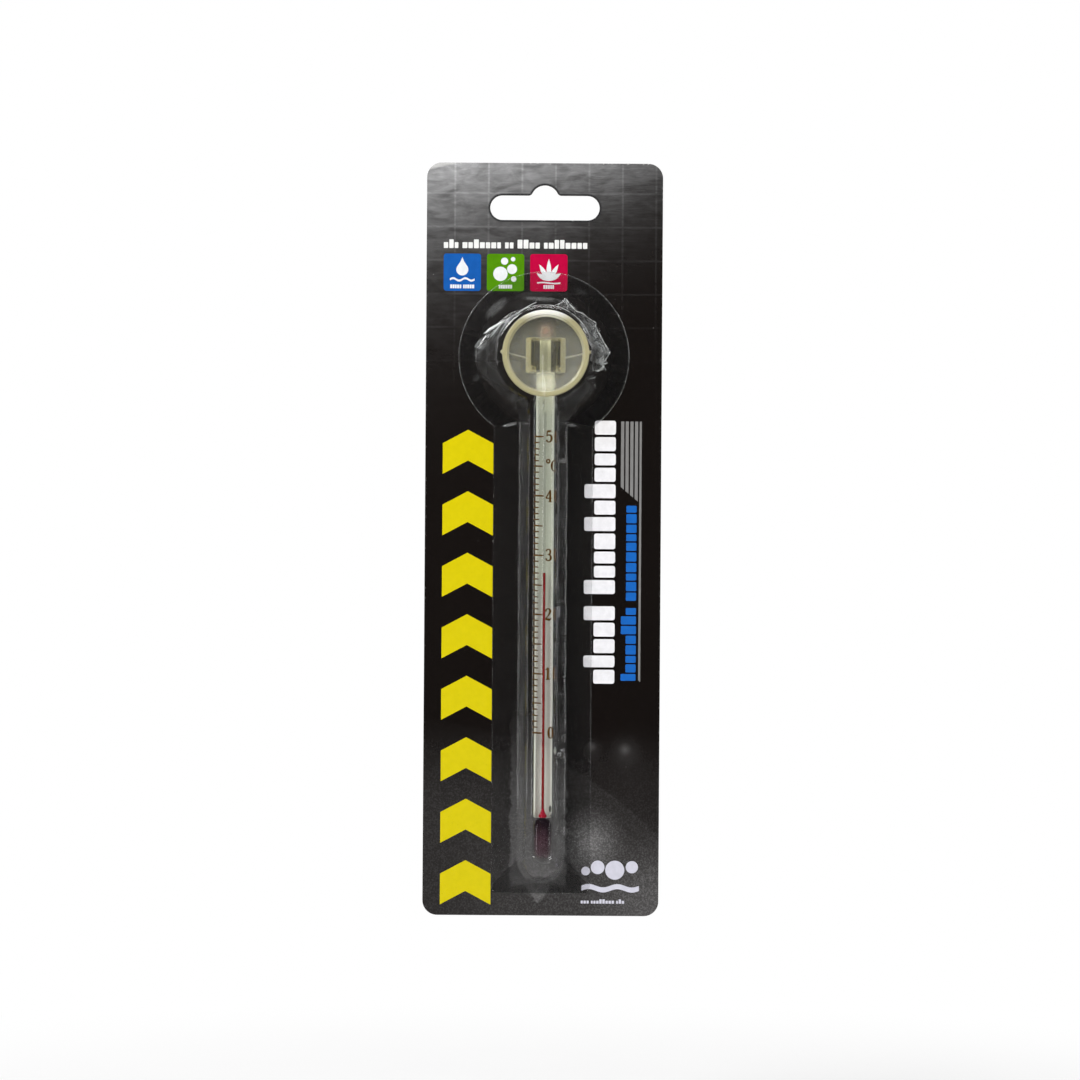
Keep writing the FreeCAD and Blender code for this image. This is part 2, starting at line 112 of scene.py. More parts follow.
class Shader:
    """Builds one material, node by node."""

    def __init__(self, name):
        self.material = bpy.data.materials.new(name)
        self.material.use_nodes = True
        self.tree = self.material.node_tree
        self.tree.nodes.clear()
        self.output = self.node("ShaderNodeOutputMaterial")
        coordinates = self.node("ShaderNodeTexCoord")
        scale = self.node("ShaderNodeVectorMath", operation="SCALE")
        self.tree.links.new(coordinates.outputs["Object"], scale.inputs[0])
        scale.inputs["Scale"].default_value = 1 / MM
        self.place = scale.outputs[0]
        split = self.node("ShaderNodeSeparateXYZ")
        self.tree.links.new(self.place, split.inputs[0])
        self.x, self.y, self.z = split.outputs

    def node(self, kind, **settings):
        made = self.tree.nodes.new(kind)
        for key, setting in settings.items():
            setattr(made, key, setting)
        return made

    def feed(self, socket, source):
        if isinstance(source, bpy.types.NodeSocket):
            self.tree.links.new(source, socket)
        else:
            socket.default_value = source

    def math(self, operation, *sources, clamp=False):
        made = self.node("ShaderNodeMath", operation=operation, use_clamp=clamp)
        for socket, source in zip(made.inputs, sources):
            self.feed(socket, source)
        return made.outputs[0]

    def add(self, *sources):
        total = sources[0]
        for source in sources[1:]:
            total = self.math("ADD", total, source)
        return total

    def times(self, *sources):
        total = sources[0]
        for source in sources[1:]:
            total = self.math("MULTIPLY", total, source)
        return total

    def step(self, source, start, end):
        """0 before start, 1 after end, smooth between. Start may be above end."""
        made = self.node("ShaderNodeMapRange", interpolation_type="SMOOTHSTEP")
        self.feed(made.inputs["Value"], source)
        flip = start > end
        made.inputs["From Min"].default_value = min(start, end)
        made.inputs["From Max"].default_value = max(start, end)
        made.inputs["To Min"].default_value = 1.0 if flip else 0.0
        made.inputs["To Max"].default_value = 0.0 if flip else 1.0
        return made.outputs["Result"]

    def noise(self, scale, detail=3.0, roughness=0.55, stretch=(1, 1, 1), distortion=0.0, offset=0.0):
        moved = self.node("ShaderNodeVectorMath", operation="MULTIPLY_ADD")
        self.feed(moved.inputs[0], self.place)
        moved.inputs[1].default_value = stretch
        moved.inputs[2].default_value = (offset, offset, offset)
        made = self.node("ShaderNodeTexNoise")
        self.feed(made.inputs["Vector"], moved.outputs[0])
        made.inputs["Scale"].default_value = scale
        made.inputs["Detail"].default_value = detail
        made.inputs["Roughness"].default_value = roughness
        made.inputs["Distortion"].default_value = distortion
        return made.outputs["Fac"]

    def cells(self, scale, feature="F1", stretch=(1, 1, 1)):
        moved = self.node("ShaderNodeVectorMath", operation="MULTIPLY")
        self.feed(moved.inputs[0], self.place)
        moved.inputs[1].default_value = stretch
        made = self.node("ShaderNodeTexVoronoi", feature=feature)
        self.feed(made.inputs["Vector"], moved.outputs[0])
        made.inputs["Scale"].default_value = scale
        return made.outputs["Distance"]

    def mix(self, factor, first, second):
        """A mix of two colours."""
        made = self.node("ShaderNodeMix", data_type="RGBA")
        self.feed(made.inputs["Factor"], factor)
        self.feed(made.inputs[6], first)
        self.feed(made.inputs[7], second)
        return made.outputs[2]

    def bump(self, height, distance, strength=1.0):
        """A normal from a height of 0 to 1, with the height's full size in millimetres."""
        made = self.node("ShaderNodeBump")
        self.feed(made.inputs["Height"], height)
        made.inputs["Distance"].default_value = distance * MM
        made.inputs["Strength"].default_value = strength
        return made.outputs["Normal"]

    def surface(self, kind, **inputs):
        """A shader node of that kind, with inputs named in words with underscores."""
        made = self.node(kind)
        for name, source in inputs.items():
            self.feed(made.inputs[name.replace("_", " ")], source)
        return made.outputs[0]

    def principled(self, **inputs):
        return self.surface("ShaderNodeBsdfPrincipled", **inputs)

    def blend(self, factor, first, second):
        """A mix of two shaders."""
        made = self.node("ShaderNodeMixShader")
        self.feed(made.inputs[0], factor)
        self.feed(made.inputs[1], first)
        self.feed(made.inputs[2], second)
        return made.outputs[0]

    def lets_light_in(self, solid, tint):
        """The solid shader as seen, and a clear tint for the light that goes through to what is inside."""
        path = self.node("ShaderNodeLightPath")
        light = self.math("MAXIMUM", path.outputs["Is Shadow Ray"], path.outputs["Is Diffuse Ray"])
        return self.blend(light, solid, self.surface("ShaderNodeBsdfTransparent", Color=tint))

    def finish(self, surface):
        self.tree.links.new(surface, self.output.inputs["Surface"])
        return self.material

    def within(self, x, z, radius, softness):
        """1 inside a circle on the card's face, 0 outside it."""
        across = self.math("POWER", self.math("SUBTRACT", self.x, x), 2.0)
        up = self.math("POWER", self.math("SUBTRACT", self.z, z), 2.0)
        distance = self.math("SQRT", self.add(across, up))
        return self.step(distance, radius + softness, radius - softness)


def front_print():
    """Near black lacquered print: a grid that fades out downwards, painted glare at the top, spheres below, painted
    shade round the hang slot and a painted highlight on its lower lip.
    """
    s = Shader("front_print")
    streaks = s.noise(0.16, 5.0, 0.62, (1.0, 1.0, 4.5), 0.6)
    scratches = s.noise(0.35, 4.0, 0.7, (0.45, 1.0, 5.0), 1.5, 2.0)
    grain = s.noise(2.2, 2.0, 0.7)
    speckle = s.step(grain, 0.40, 0.72)
    clouds = s.noise(0.13, 4.0, 0.55, (1.0, 1.0, 1.9), 0.9, 7.0)
    uneven = s.add(s.times(s.step(clouds, 0.28, 0.72), 0.50), s.times(s.step(streaks, 0.3, 0.72), 0.36))
    uneven = s.add(uneven, s.times(s.step(scratches, 0.35, 0.7), s.step(s.x, -10.0, 20.0), 0.45), 0.52)
    # Painted glare: the top lamp mirrored in the lacquer, brightest at the top left, falling off downwards and broken
    # up by streaks, clouds and scratches.
    fall = s.times(s.math("SUBTRACT", s.z, 4.5), s.add(s.times(s.step(s.x, 0.0, 14.0), 0.045), 0.103))
    painted_glare = s.times(s.add(s.times(s.x, -0.0043), 0.197), s.math("POWER", 2.0, fall))
    glare = s.times(painted_glare, uneven)
    lines = s.math("MAXIMUM", grid_line(s, s.x, GRID_ACROSS), grid_line(s, s.z, GRID_UP))
    # The grid lines show mostly where the painted glare falls.
    strength = s.add(s.times(painted_glare, 0.34), s.times(s.step(s.z, -66.0, -4.0), 0.011))
    faded = s.times(lines, strength, s.add(s.times(s.step(streaks, 0.3, 0.7), 0.8), 0.35))
    ball = s.within(BALL[0], BALL[1], BALL[2], 0.45)
    spot = s.times(s.within(BALL_SPOT[0], BALL_SPOT[1], 0.5, 12.0), ball, 0.30)
    low = s.times(s.step(s.z, -156.0, -188.0), 0.016)
    lower = s.times(s.step(s.z, -184.0, -208.0), s.step(s.x, -32.0, 4.0), 0.022)
    corner = s.times(s.step(s.z, -188.0, -210.0), s.step(s.x, 8.0, 34.0), 0.05)
    glow = s.add(low, lower, corner, spot, s.times(ball, s.step(s.z, -150.0, -180.0), 0.010))
    glow = s.times(glow, s.add(s.times(speckle, 0.75), 0.60))
    for x, z, radius, strength in BUBBLES:
        glow = s.add(glow, s.times(s.within(x, z, radius * 0.25, radius), strength))
    haze = s.times(channel_haze(s), s.add(s.times(speckle, 0.03), 0.055))
    light = s.add(glare, faded, glow, haze)
    tone = s.mix(s.step(s.z, -60.0, 0.0), (1.0, 0.985, 0.985, 1.0), (0.985, 0.99, 1.0, 1.0))
    ink = s.mix(s.noise(0.05, 2.0), (0.0050, 0.0034, 0.0028, 1.0), (0.0068, 0.0048, 0.0040, 1.0))
    lit = s.node("ShaderNodeVectorMath", operation="SCALE")
    s.feed(lit.inputs[0], tone)
    s.feed(lit.inputs["Scale"], light)
    total = s.node("ShaderNodeVectorMath", operation="ADD")
    s.feed(total.inputs[0], ink)
    s.feed(total.inputs[1], lit.outputs[0])
    shadow = s.step(slot_distance(s), 0.28, 0.80)
    colour = s.mix(shadow, srgb(44, 44, 45), total.outputs[0])
    fibres = s.step(s.noise(1.1, 4.0, 0.75, offset=9.0), 0.56, 0.66)
    upper = s.add(s.times(s.step(s.z, -10.0, 5.0), 0.75), 0.12)
    worn = s.times(card_edge(s, 0.10, 0.55), fibres, upper)
    # Painted highlight on the hang slot's lower lip, where light from above falls on the board's pale fibres.
    lit_lower_lip = s.times(s.step(slot_distance(s), 0.30, 0.05), s.step(s.z, -8.0, -10.5), fibres)
    scuffs = s.times(s.step(s.cells(0.22), 0.040, 0.018), s.step(s.noise(0.11, 2.0), 0.5, 0.6), 0.22)
    # Paler across the top-left corner, broken up by scratches.
    corner_depth = s.add(s.math("SUBTRACT", CARD_HIGH.z, s.z), s.times(s.math("SUBTRACT", s.x, CARD_LOW.x), 0.22))
    pale_corner = s.times(s.step(corner_depth, 2.5, 1.6), s.add(s.times(s.step(scratches, 0.3, 0.6), 0.4), 0.35))
    # Pale board where the edges are worn and scuffed, the pale top-left corner, and the painted highlight on the slot's
    # lower lip.
    bare_and_lit = s.math("MAXIMUM", s.math("MAXIMUM", s.math("MAXIMUM", worn, lit_lower_lip), scuffs), pale_corner)
    colour = s.mix(bare_and_lit, colour, srgb(206, 205, 202))
    crinkle = s.noise(0.5, 4.0, 0.6, (1.0, 1.0, 2.6), 0.4)
    height = s.add(s.times(crinkle, 0.7), s.times(grain, 0.3))
    rough = s.add(s.times(s.noise(1.2, 3.0), 0.10), 0.17)
    return s.finish(s.principled(Base_Color=colour, Roughness=rough, IOR=1.42, Normal=s.bump(height, 0.04, 0.4)))


def slot_distance(s):
    """Distance outside the hang slot's outline: a lying capsule with a round hump over its middle."""
    across = s.math("MAXIMUM", s.math("SUBTRACT", s.math("ABSOLUTE", s.x), SLOT_HALF - SLOT_R), 0.0)
    up = s.math("SUBTRACT", s.z, SLOT_Z)
    bar = s.math("SUBTRACT", root_of_squares(s, across, up), SLOT_R)
    hump = s.math("SUBTRACT", root_of_squares(s, s.x, s.math("SUBTRACT", s.z, HUMP_Z)), HUMP_R)
    return s.math("MINIMUM", bar, hump)


def root_of_squares(s, first, second):
    return s.math("SQRT", s.add(s.math("POWER", first, 2.0), s.math("POWER", second, 2.0)))


SLOT_HALF, SLOT_R, SLOT_Z = 16.0, 3.6, -6.6  # the hang slot's bar
HUMP_R, HUMP_Z = 4.1, -4.1  # and its hump
GRID = 9.8  # pitch of the printed grid
GRID_ACROSS = -26.25  # one of its upright lines
GRID_UP = -2.4  # one of its level lines
BALL = (-49.0, -271.0, 116.0)  # the large printed sphere: its middle across and up, and its radius
BALL_SPOT = (14.5, -192.0)
BUBBLES = (
    (14.8, -164.0, 1.4, 0.050), (14.9, -164.5, 3.4, 0.018), (24.4, -164.8, 2.0, 0.060), (24.5, -165.4, 5.0, 0.024),
    (25.6, -169.0, 11.0, 0.007), (15.4, -168.0, 6.0, 0.004),
)


def grid_line(s, along, through):
    """1 on the lines of a grid one pitch apart, with a soft edge."""
    turns = s.math("DIVIDE", s.math("SUBTRACT", along, through), GRID)
    off = s.math("ABSOLUTE", s.math("SUBTRACT", turns, s.math("ROUND", turns)))
    return s.step(off, 0.042, 0.014)


def card_edge(s, full, none):
    """1 at the card's edge, falling to 0 inside it, in millimetres from the edge."""
    half = CARD_HIGH.x
    side = s.math("SUBTRACT", half, s.math("ABSOLUTE", s.x))
    top = s.math("SUBTRACT", CARD_HIGH.z, s.z)
    bottom = s.math("SUBTRACT", s.z, CARD_LOW.z)
    nearest = s.math("MINIMUM", side, s.math("MINIMUM", top, bottom))
    return s.step(nearest, none, full)


def channel_haze(s):
    """A paler patch round the lower channel, with a torn outline, a tip below and a darker crescent under the bulb's
    end.
    """
    ragged = s.times(s.math("SUBTRACT", s.noise(0.35, 4.0, 0.6), 0.5), 3.2)
    off = s.add(s.math("ABSOLUTE", s.math("SUBTRACT", s.x, -0.8)), ragged)
    sides = s.step(off, 8.6, 7.8)
    upper = s.step(s.z, -146.0, -190.0)
    lower = s.step(s.add(s.z, ragged), -205.6, -204.0)
    tip = s.times(s.step(s.add(off, s.times(s.math("SUBTRACT", -204.0, s.z), 0.75)), 5.0, 4.0), s.step(s.z, -211.0, -209.0))
    across, up = s.times(s.add(s.x, 0.2), 1 / 3.6), s.times(s.add(s.z, 203.0), 1 / 0.8)
    crescent = s.step(root_of_squares(s, across, up), 1.2, 0.7)
    patch = s.math("MAXIMUM", s.times(sides, upper, lower), s.times(tip, s.step(s.z, -203.0, -205.0)))
    return s.times(patch, s.math("SUBTRACT", 1.0, s.times(crescent, 0.85)))


def board(name, pale, dark, fibre):
    """Grey board or liner paper with fibres."""
    s = Shader(name)
    fibres = s.noise(fibre, 5.0, 0.7, (1.0, 1.0, 0.35), 0.8)
    flecks = s.step(s.cells(0.9), 0.12, 0.05)
    colour = s.mix(s.step(fibres, 0.3, 0.7), dark, pale)
    colour = s.mix(s.times(flecks, 0.35), colour, srgb(120, 112, 100))
    height = s.add(fibres, s.times(s.noise(6.0, 2.0), 0.4))
    return s.finish(s.principled(Base_Color=colour, Roughness=0.86, Normal=s.bump(height, 0.05, 0.6)))


def flat_ink(name, colour, shade=0.9):
    """Printed ink under the card's lacquer: a little uneven, with the card's crinkle."""
    s = Shader(name)
    darker = tuple(level * shade for level in colour[:3]) + (1.0,)
    uneven = s.noise(0.5, 4.0, 0.6)
    mottled = s.mix(s.step(uneven, 0.3, 0.7), darker, colour)
    worn = s.times(s.step(s.noise(1.6, 3.0, 0.7, offset=5.0), 0.64, 0.72), 0.3)
    colour = s.mix(worn, mottled, tuple(level * 0.45 for level in colour[:3]) + (1.0,))
    crinkle = s.noise(0.5, 4.0, 0.6, (1.0, 1.0, 2.6), 0.4)
    rough = s.add(s.times(uneven, 0.08), 0.18)
    normal = s.bump(crinkle, 0.04, 0.4)
    return s.finish(s.principled(Base_Color=colour, Roughness=rough, IOR=1.45, Normal=normal))


def flange_distance(s):
    """Distance inside the film's cut outline: a round head over a straight strip."""
    up = s.math("SUBTRACT", s.z, DOME_Z)
    head = s.math("SUBTRACT", root_of_squares(s, s.x, up), FLANGE_R)
    strip = s.math("MAXIMUM", s.math("SUBTRACT", s.math("ABSOLUTE", s.x), FLANGE_HALF), up)
    strip = s.math("MAXIMUM", strip, s.math("SUBTRACT", BLISTER_LOW.z, s.z))
    return s.times(s.math("MINIMUM", head, strip), -1.0)


def clear_film(name="clear_film", haze=0.0015, tint=0.985):
    """Thermoformed clear sheet: mirrors at a glance and lets the rest through, with drawn lines, dust and patches of
    painted glare.
    """
    s = Shader(name)
    facing = s.node("ShaderNodeLayerWeight")
    facing.inputs["Blend"].default_value = 0.5
    grazing = s.math("POWER", facing.outputs["Facing"], 3.6)
    mirror = s.add(s.times(grazing, 0.75), 0.04)
    drawn = s.noise(0.35, 3.0, 0.5, (2.6, 1.0, 0.22))
    orange_peel = s.noise(1.3, 2.0, 0.5)
    normal = s.bump(s.add(s.times(drawn, 0.8), s.times(orange_peel, 0.2)), 0.014, 1.0)
    gloss = s.surface("ShaderNodeBsdfGlossy", Color=(1, 1, 1, 1), Roughness=0.035, Normal=normal)
    clear = s.surface("ShaderNodeBsdfTransparent", Color=(tint, tint, tint, 1))
    dust = s.step(s.noise(3.0, 3.0, 0.75, offset=11.0), 0.69, 0.78)
    cut = s.step(flange_distance(s), 0.42, 0.12)
    ragged = s.step(s.noise(0.8, 3.0, 0.6), 0.35, 0.6)
    head = s.step(s.z, DOME_Z - 21.5, DOME_Z - 19.0)
    right = s.times(s.step(s.x, 10.0, 14.0), s.step(s.z, -200.0, -150.0), 0.55)
    shown = s.math("MAXIMUM", s.math("MAXIMUM", head, right), 0.18)
    milk_and_glare = s.add(s.times(dust, 0.05), s.times(cut, shown, s.add(s.times(ragged, 0.055), 0.02)), haze)
    streaks = s.step(s.noise(1.0, 3.0, 0.55, (1.0, 0.25, 0.12)), 0.36, 0.66)
    walls = s.step(facing.outputs["Facing"], 0.50, 0.85)
    milk_and_glare = s.add(milk_and_glare, s.times(walls, s.add(s.times(streaks, 0.040), 0.012)))
    # Painted glare: speckled milky patches on the flange.
    for x, z, wide, tall, lean, strength in PAINTED_FILM_GLARE:
        milk_and_glare = s.add(milk_and_glare, s.times(sheen(s, x, z, wide, tall, lean), strength))
    scatter = s.surface("ShaderNodeBsdfDiffuse", Color=srgb(226, 228, 228))
    body = s.blend(milk_and_glare, clear, scatter)
    seen = s.blend(mirror, body, gloss)
    return s.finish(s.lets_light_in(seen, (0.985, 0.985, 0.985, 1)))


# Painted glare on the flange, as speckled milky patches where the film mirrors the lamps: across, up, half width, half
# height, lean in degrees, strength
PAINTED_FILM_GLARE = (
    (-14.0, -35.8, 4.6, 1.5, 42.0, 0.105),
    (-1.5, -33.2, 5.4, 0.8, -3.0, 0.15),
    (6.4, -34.6, 3.2, 0.7, -24.0, 0.14),
    (-19.2, -48.2, 2.6, 1.1, 62.0, 0.085),
    (-19.5, -56.5, 1.6, 1.0, 35.0, 0.03),
    (10.5, -31.0, 2.6, 1.0, -28.0, 0.02),
)


def sheen(s, x, z, wide, tall, lean):
    """1 in the middle of a leaning oval patch, 0 outside it, broken up by fine grain."""
    turn = math.radians(lean)
    dx, dz = s.math("SUBTRACT", s.x, x), s.math("SUBTRACT", s.z, z)
    along = s.add(s.times(dx, math.cos(turn) / wide), s.times(dz, math.sin(turn) / wide))
    over = s.add(s.times(dx, -math.sin(turn) / tall), s.times(dz, math.cos(turn) / tall))
    grain = s.step(s.noise(2.4, 3.0, 0.7, (1.0, 1.0, 1.0), 0.0, 4.0), 0.38, 0.66)
    return s.times(s.step(root_of_squares(s, along, over), 1.15, 0.35), grain)


def collar_span():
    """The collar's lowest and highest point on the stem."""
    return CUP_Z - COLLAR_LENGTH / 2, CUP_Z + COLLAR_LENGTH / 2


def stem_glass():
    """Drawn soda glass, faintly green, with fine lines along it. Inside the wetted collar it doesn't bend light."""
    s = Shader("stem_glass")
    lines = s.noise(2.2, 2.0, 0.5, (1.0, 1.0, 0.02))
    tint = s.mix(lines, (0.955, 0.985, 0.97, 1), (0.97, 0.985, 0.98, 1))
    rough = s.add(s.times(s.noise(0.6, 2.0), 0.02), 0.004)
    normal = s.bump(lines, 0.02, 0.25)
    glass = s.principled(Base_Color=tint, Roughness=rough, IOR=1.52, Transmission_Weight=1.0, Normal=normal)
    low = collar_span()[0]
    wetted = s.times(s.step(s.z, low - 0.1, low + 0.1), 0.96)
    clear = s.surface("ShaderNodeBsdfTransparent", Color=(0.97, 0.98, 0.97, 1))
    seen = s.blend(wetted, glass, clear)
    return s.finish(s.lets_light_in(seen, (0.97, 0.98, 0.975, 1)))


def enamel():
    """Opaque white glass, slightly green and uneven along its length, pinkish where the stem was sealed; painted shade
    up the strip, down its middle and at its top, and painted light near and inside the cup's collar.
    """
    s = Shader("white_enamel")
    cloud = s.noise(0.25, 4.0, 0.6, (1.0, 1.0, 0.2))
    # Painted shade: lit and shaded copies of the white, darker and greener up the strip than at its foot.
    lower_lit = s.mix(s.step(cloud, 0.3, 0.7), srgb(188, 185, 177), srgb(204, 201, 192))
    shaded = s.mix(s.step(cloud, 0.3, 0.7), srgb(172, 175, 158), srgb(188, 191, 174))
    upper = s.step(s.z, -135.0, -110.0)
    lit_and_shaded = s.mix(upper, lower_lit, shaded)
    drawn = s.step(s.noise(2.6, 2.0, 0.5, (1.0, 1.0, 0.012)), 0.3, 0.7)
    lit_and_shaded = s.mix(s.times(drawn, upper, 0.22), lit_and_shaded, srgb(214, 215, 196))
    # Painted light: the strip brighter under the cup and nearly white inside its collar.
    lit_and_shaded = s.mix(s.times(s.step(s.z, -69.0, -56.0), 0.85), lit_and_shaded, srgb(216, 216, 192))
    lit_and_shaded = s.mix(s.step(s.z, -57.0, -54.5), lit_and_shaded, srgb(250, 250, 228))
    # Above the collar the strip is dark and pinkish: a pink tint where the stem was sealed, with painted shade.
    pink_and_shade = s.mix(s.step(s.z, -45.8, -44.8), lit_and_shaded, srgb(116, 110, 98))
    middle = s.math("ABSOLUTE", s.math("SUBTRACT", s.x, STEM_X + 0.1))
    # Painted shade: a darker band down the strip's middle, under the capillary.
    soft = s.times(s.step(middle, 0.75, 0.15), s.add(s.times(s.step(s.z, -118.0, -100.0), 0.2), 0.08))
    colour = s.mix(soft, pink_and_shade, srgb(120, 124, 104))
    # Painted highlight: the strip's edges brighter inside the collar.
    lit_margin = s.times(s.step(middle, 1.2, 1.45), s.step(s.z, -48.0, -56.0), 0.55)
    colour = s.mix(lit_margin, colour, srgb(226, 228, 214))
    normal = s.bump(s.noise(1.5, 2.0), 0.03, 0.3)
    return s.finish(s.principled(Base_Color=colour, Roughness=0.4, Normal=normal))


def red_spirit():
    """The thread of dyed spirit."""
    s = Shader("column_spirit")
    uneven = s.noise(0.8, 2.0, 0.5, (1.0, 1.0, 0.3))
    colour = s.mix(uneven, srgb(106, 8, 12), srgb(136, 24, 20))
    normal = s.bump(uneven, 0.01, 0.2)
    return s.finish(s.principled(Base_Color=colour, Roughness=0.25, Normal=normal))


def bulb_spirit(name, top_share, low_share, fade_from, fade_to, edge):
    """Dyed spirit in layers: dense under the stem, thinner and clearer towards the tip."""
    s = Shader(name)
    swirl = s.times(s.math("SUBTRACT", s.noise(0.5, 2.0), 0.5), 1.6)
    depth = s.step(s.add(s.z, swirl), fade_to, fade_from)
    colour = s.mix(depth, srgb(100, 72, 82), srgb(20, 0, 12))
    red = s.step(s.z, BULB_HIGH.z - 0.3, BULB_HIGH.z + 0.5)
    colour = s.mix(red, colour, srgb(150, 16, 40))
    facing = s.node("ShaderNodeLayerWeight")
    facing.inputs["Blend"].default_value = 0.5
    middle = s.step(facing.outputs["Facing"], 1.0, edge)
    dense = s.times(s.add(s.times(depth, top_share - low_share), low_share), middle)
    dense = s.math("MAXIMUM", dense, s.times(red, 0.95))
    liquid = s.principled(Base_Color=colour, Roughness=0.6, IOR=1.12, Normal=s.bump(swirl, 0.02, 0.2))
    clear = s.surface("ShaderNodeBsdfTransparent", Color=(1, 1, 1, 1))
    return s.finish(s.blend(dense, clear, liquid))


def scale_ink():
    """Fired brown ink, thin in places."""
    s = Shader("scale_ink")
    thin = s.noise(3.5, 3.0, 0.6)
    colour = s.mix(s.step(thin, 0.35, 0.8), srgb(74, 46, 0), srgb(102, 68, 2))
    return s.finish(s.principled(Base_Color=colour, Roughness=0.5, IOR=1.2, Normal=s.bump(thin, 0.02, 0.5)))


def soft_pvc():
    """Clear PVC gone yellow: milky where it is thick, at the lip and the collar's side walls, with a painted highlight
    on the lip's top, a painted glow of the stem below the collar, and painted shade as less milk at the disc's top and
    in the collar.
    """
    s = Shader("soft_pvc")
    across = s.math("SUBTRACT", s.x, STEM_X)
    up = s.math("SUBTRACT", s.z, CUP_Z)
    radius = s.math("SQRT", s.add(s.math("POWER", across, 2.0), s.math("POWER", up, 2.0)))
    lip = s.step(radius, CUP_R - 1.65, CUP_R - 1.35)
    forward = s.math("MULTIPLY", s.y, -1.0)
    behind = s.step(forward, DISC_BACK - 0.2, DISC_BACK - 0.7)
    walls = s.step(s.math("ABSOLUTE", across), 3.9, 4.6)
    ends = s.step(s.math("ABSOLUTE", up), COLLAR_LENGTH / 2 - 1.2, COLLAR_LENGTH / 2 - 0.5)
    foot = s.times(s.step(up, -COLLAR_LENGTH / 2 + 2.6, -COLLAR_LENGTH / 2 + 1.0), s.step(s.noise(0.9, 3.0), 0.4, 0.55))
    outer = s.step(s.math("ABSOLUTE", across), 2.2, 3.2)
    bar = s.times(s.step(up, COLLAR_LENGTH / 2 - 1.1, COLLAR_LENGTH / 2 - 0.7), 0.34)
    frame_milk = s.math("MAXIMUM", s.math("MAXIMUM", s.times(walls, 0.62), bar), s.times(ends, outer, 0.45))
    collar = s.times(behind, s.math("MAXIMUM", frame_milk, s.times(foot, outer, 0.75)))
    cloud = s.times(s.step(s.noise(0.55, 4.0, 0.65), 0.35, 0.75), 0.06)
    below_collar = s.times(s.step(up, -COLLAR_LENGTH / 2 + 0.3, -COLLAR_LENGTH / 2 - 1.8), s.step(s.math("ABSOLUTE", across), 3.7, 1.3))
    below_collar = s.times(below_collar, s.math("SUBTRACT", 1.0, lip))
    # Painted glow: the stem's white, seen bright through the disc below the collar, painted in as milk.
    painted_glow = s.times(below_collar, s.step(up, -12.0, -8.5), s.add(s.times(s.noise(0.5, 2.0), 0.3), 0.04))
    blush = s.times(s.within(STEM_X, CUP_Z + 6.9, 1.0, 2.7), 0.40)
    in_collar = s.times(s.step(s.math("ABSOLUTE", across), 4.7, 4.1), s.step(s.math("ABSOLUTE", up), 4.9, 4.3))
    shaded = s.times(s.add(s.times(s.step(up, 10.5, 3.0), 0.60), 0.40), s.math("SUBTRACT", 1.0, s.times(in_collar, 0.78)))
    share = s.math("DIVIDE", s.math("SUBTRACT", s.math("ABSOLUTE", across), COLLAR_R * 0.95), 4.33)
    line_up = s.add(s.times(share, 0.9), -1.0)
    line = s.step(s.math("ABSOLUTE", s.math("SUBTRACT", up, line_up)), 0.22, 0.08)
    line = s.times(line, s.step(radius, COLLAR_R - 0.4, COLLAR_R + 0.1), 0.22)
    disc = s.times(s.math("SUBTRACT", 1.0, behind), s.add(s.times(s.add(cloud, 0.135), shaded), painted_glow, blush, line))
    milk = s.add(s.times(lip, 0.80), collar, disc, 0.012)
    milk = s.math("MINIMUM", milk, 0.96)
    fine = s.noise(2.0, 3.0, 0.6)
    normal = s.bump(fine, 0.03, 0.5)
    cream = s.mix(s.math("MAXIMUM", lip, behind), srgb(196, 196, 182), srgb(172, 166, 127))
    # Painted highlight: the lip's top, in near white.
    bright = s.times(lip, s.step(up, CUP_R - 3.4, CUP_R - 0.6))
    cream = s.mix(bright, cream, srgb(252, 251, 244))
    # Painted glow below the collar, in pale cream.
    cream = s.mix(below_collar, cream, srgb(232, 231, 208))
    cream = s.mix(s.times(behind, s.math("MAXIMUM", walls, foot)), cream, srgb(206, 198, 146))
    cream = s.mix(s.within(STEM_X, CUP_Z + 6.9, 2.0, 1.8), cream, srgb(176, 148, 132))
    body = s.principled(
        Base_Color=cream,
        Roughness=0.30,
        Subsurface_Weight=0.35,
        Subsurface_Radius=(2.0, 1.7, 1.0),
        Subsurface_Scale=MM,
        Normal=normal,
    )
    clear = s.surface("ShaderNodeBsdfRefraction", Color=srgb(249, 248, 242), Roughness=0.10, IOR=1.05, Normal=normal)
    facing = s.node("ShaderNodeLayerWeight")
    gloss = s.surface("ShaderNodeBsdfGlossy", Color=(1, 1, 1, 1), Roughness=0.38, Normal=normal)
    shine = s.add(s.times(s.math("POWER", facing.outputs["Facing"], 4.0), 0.5), 0.03)
    shine = s.times(shine, s.add(s.times(lip, 0.85), 0.15))
    seen = s.blend(shine, s.blend(milk, clear, body), gloss)
    return s.finish(s.lets_light_in(seen, srgb(250, 249, 243)))


def seal_lacquer():
    """Dried heat-seal lacquer: nearly clear, with a faint worm-like texture."""
    s = Shader("seal_lacquer")
    worms = s.step(s.noise(0.7, 4.0, 0.6, distortion=1.2), 0.45, 0.62)
    gloss = s.principled(Base_Color=srgb(52, 50, 49), Roughness=0.45, Normal=s.bump(worms, 0.04, 0.8))
    clear = s.surface("ShaderNodeBsdfTransparent", Color=(1, 1, 1, 1))
    amount = s.add(s.times(worms, 0.02), 0.008)
    return s.finish(s.lets_light_in(s.blend(amount, clear, gloss), (1, 1, 1, 1)))


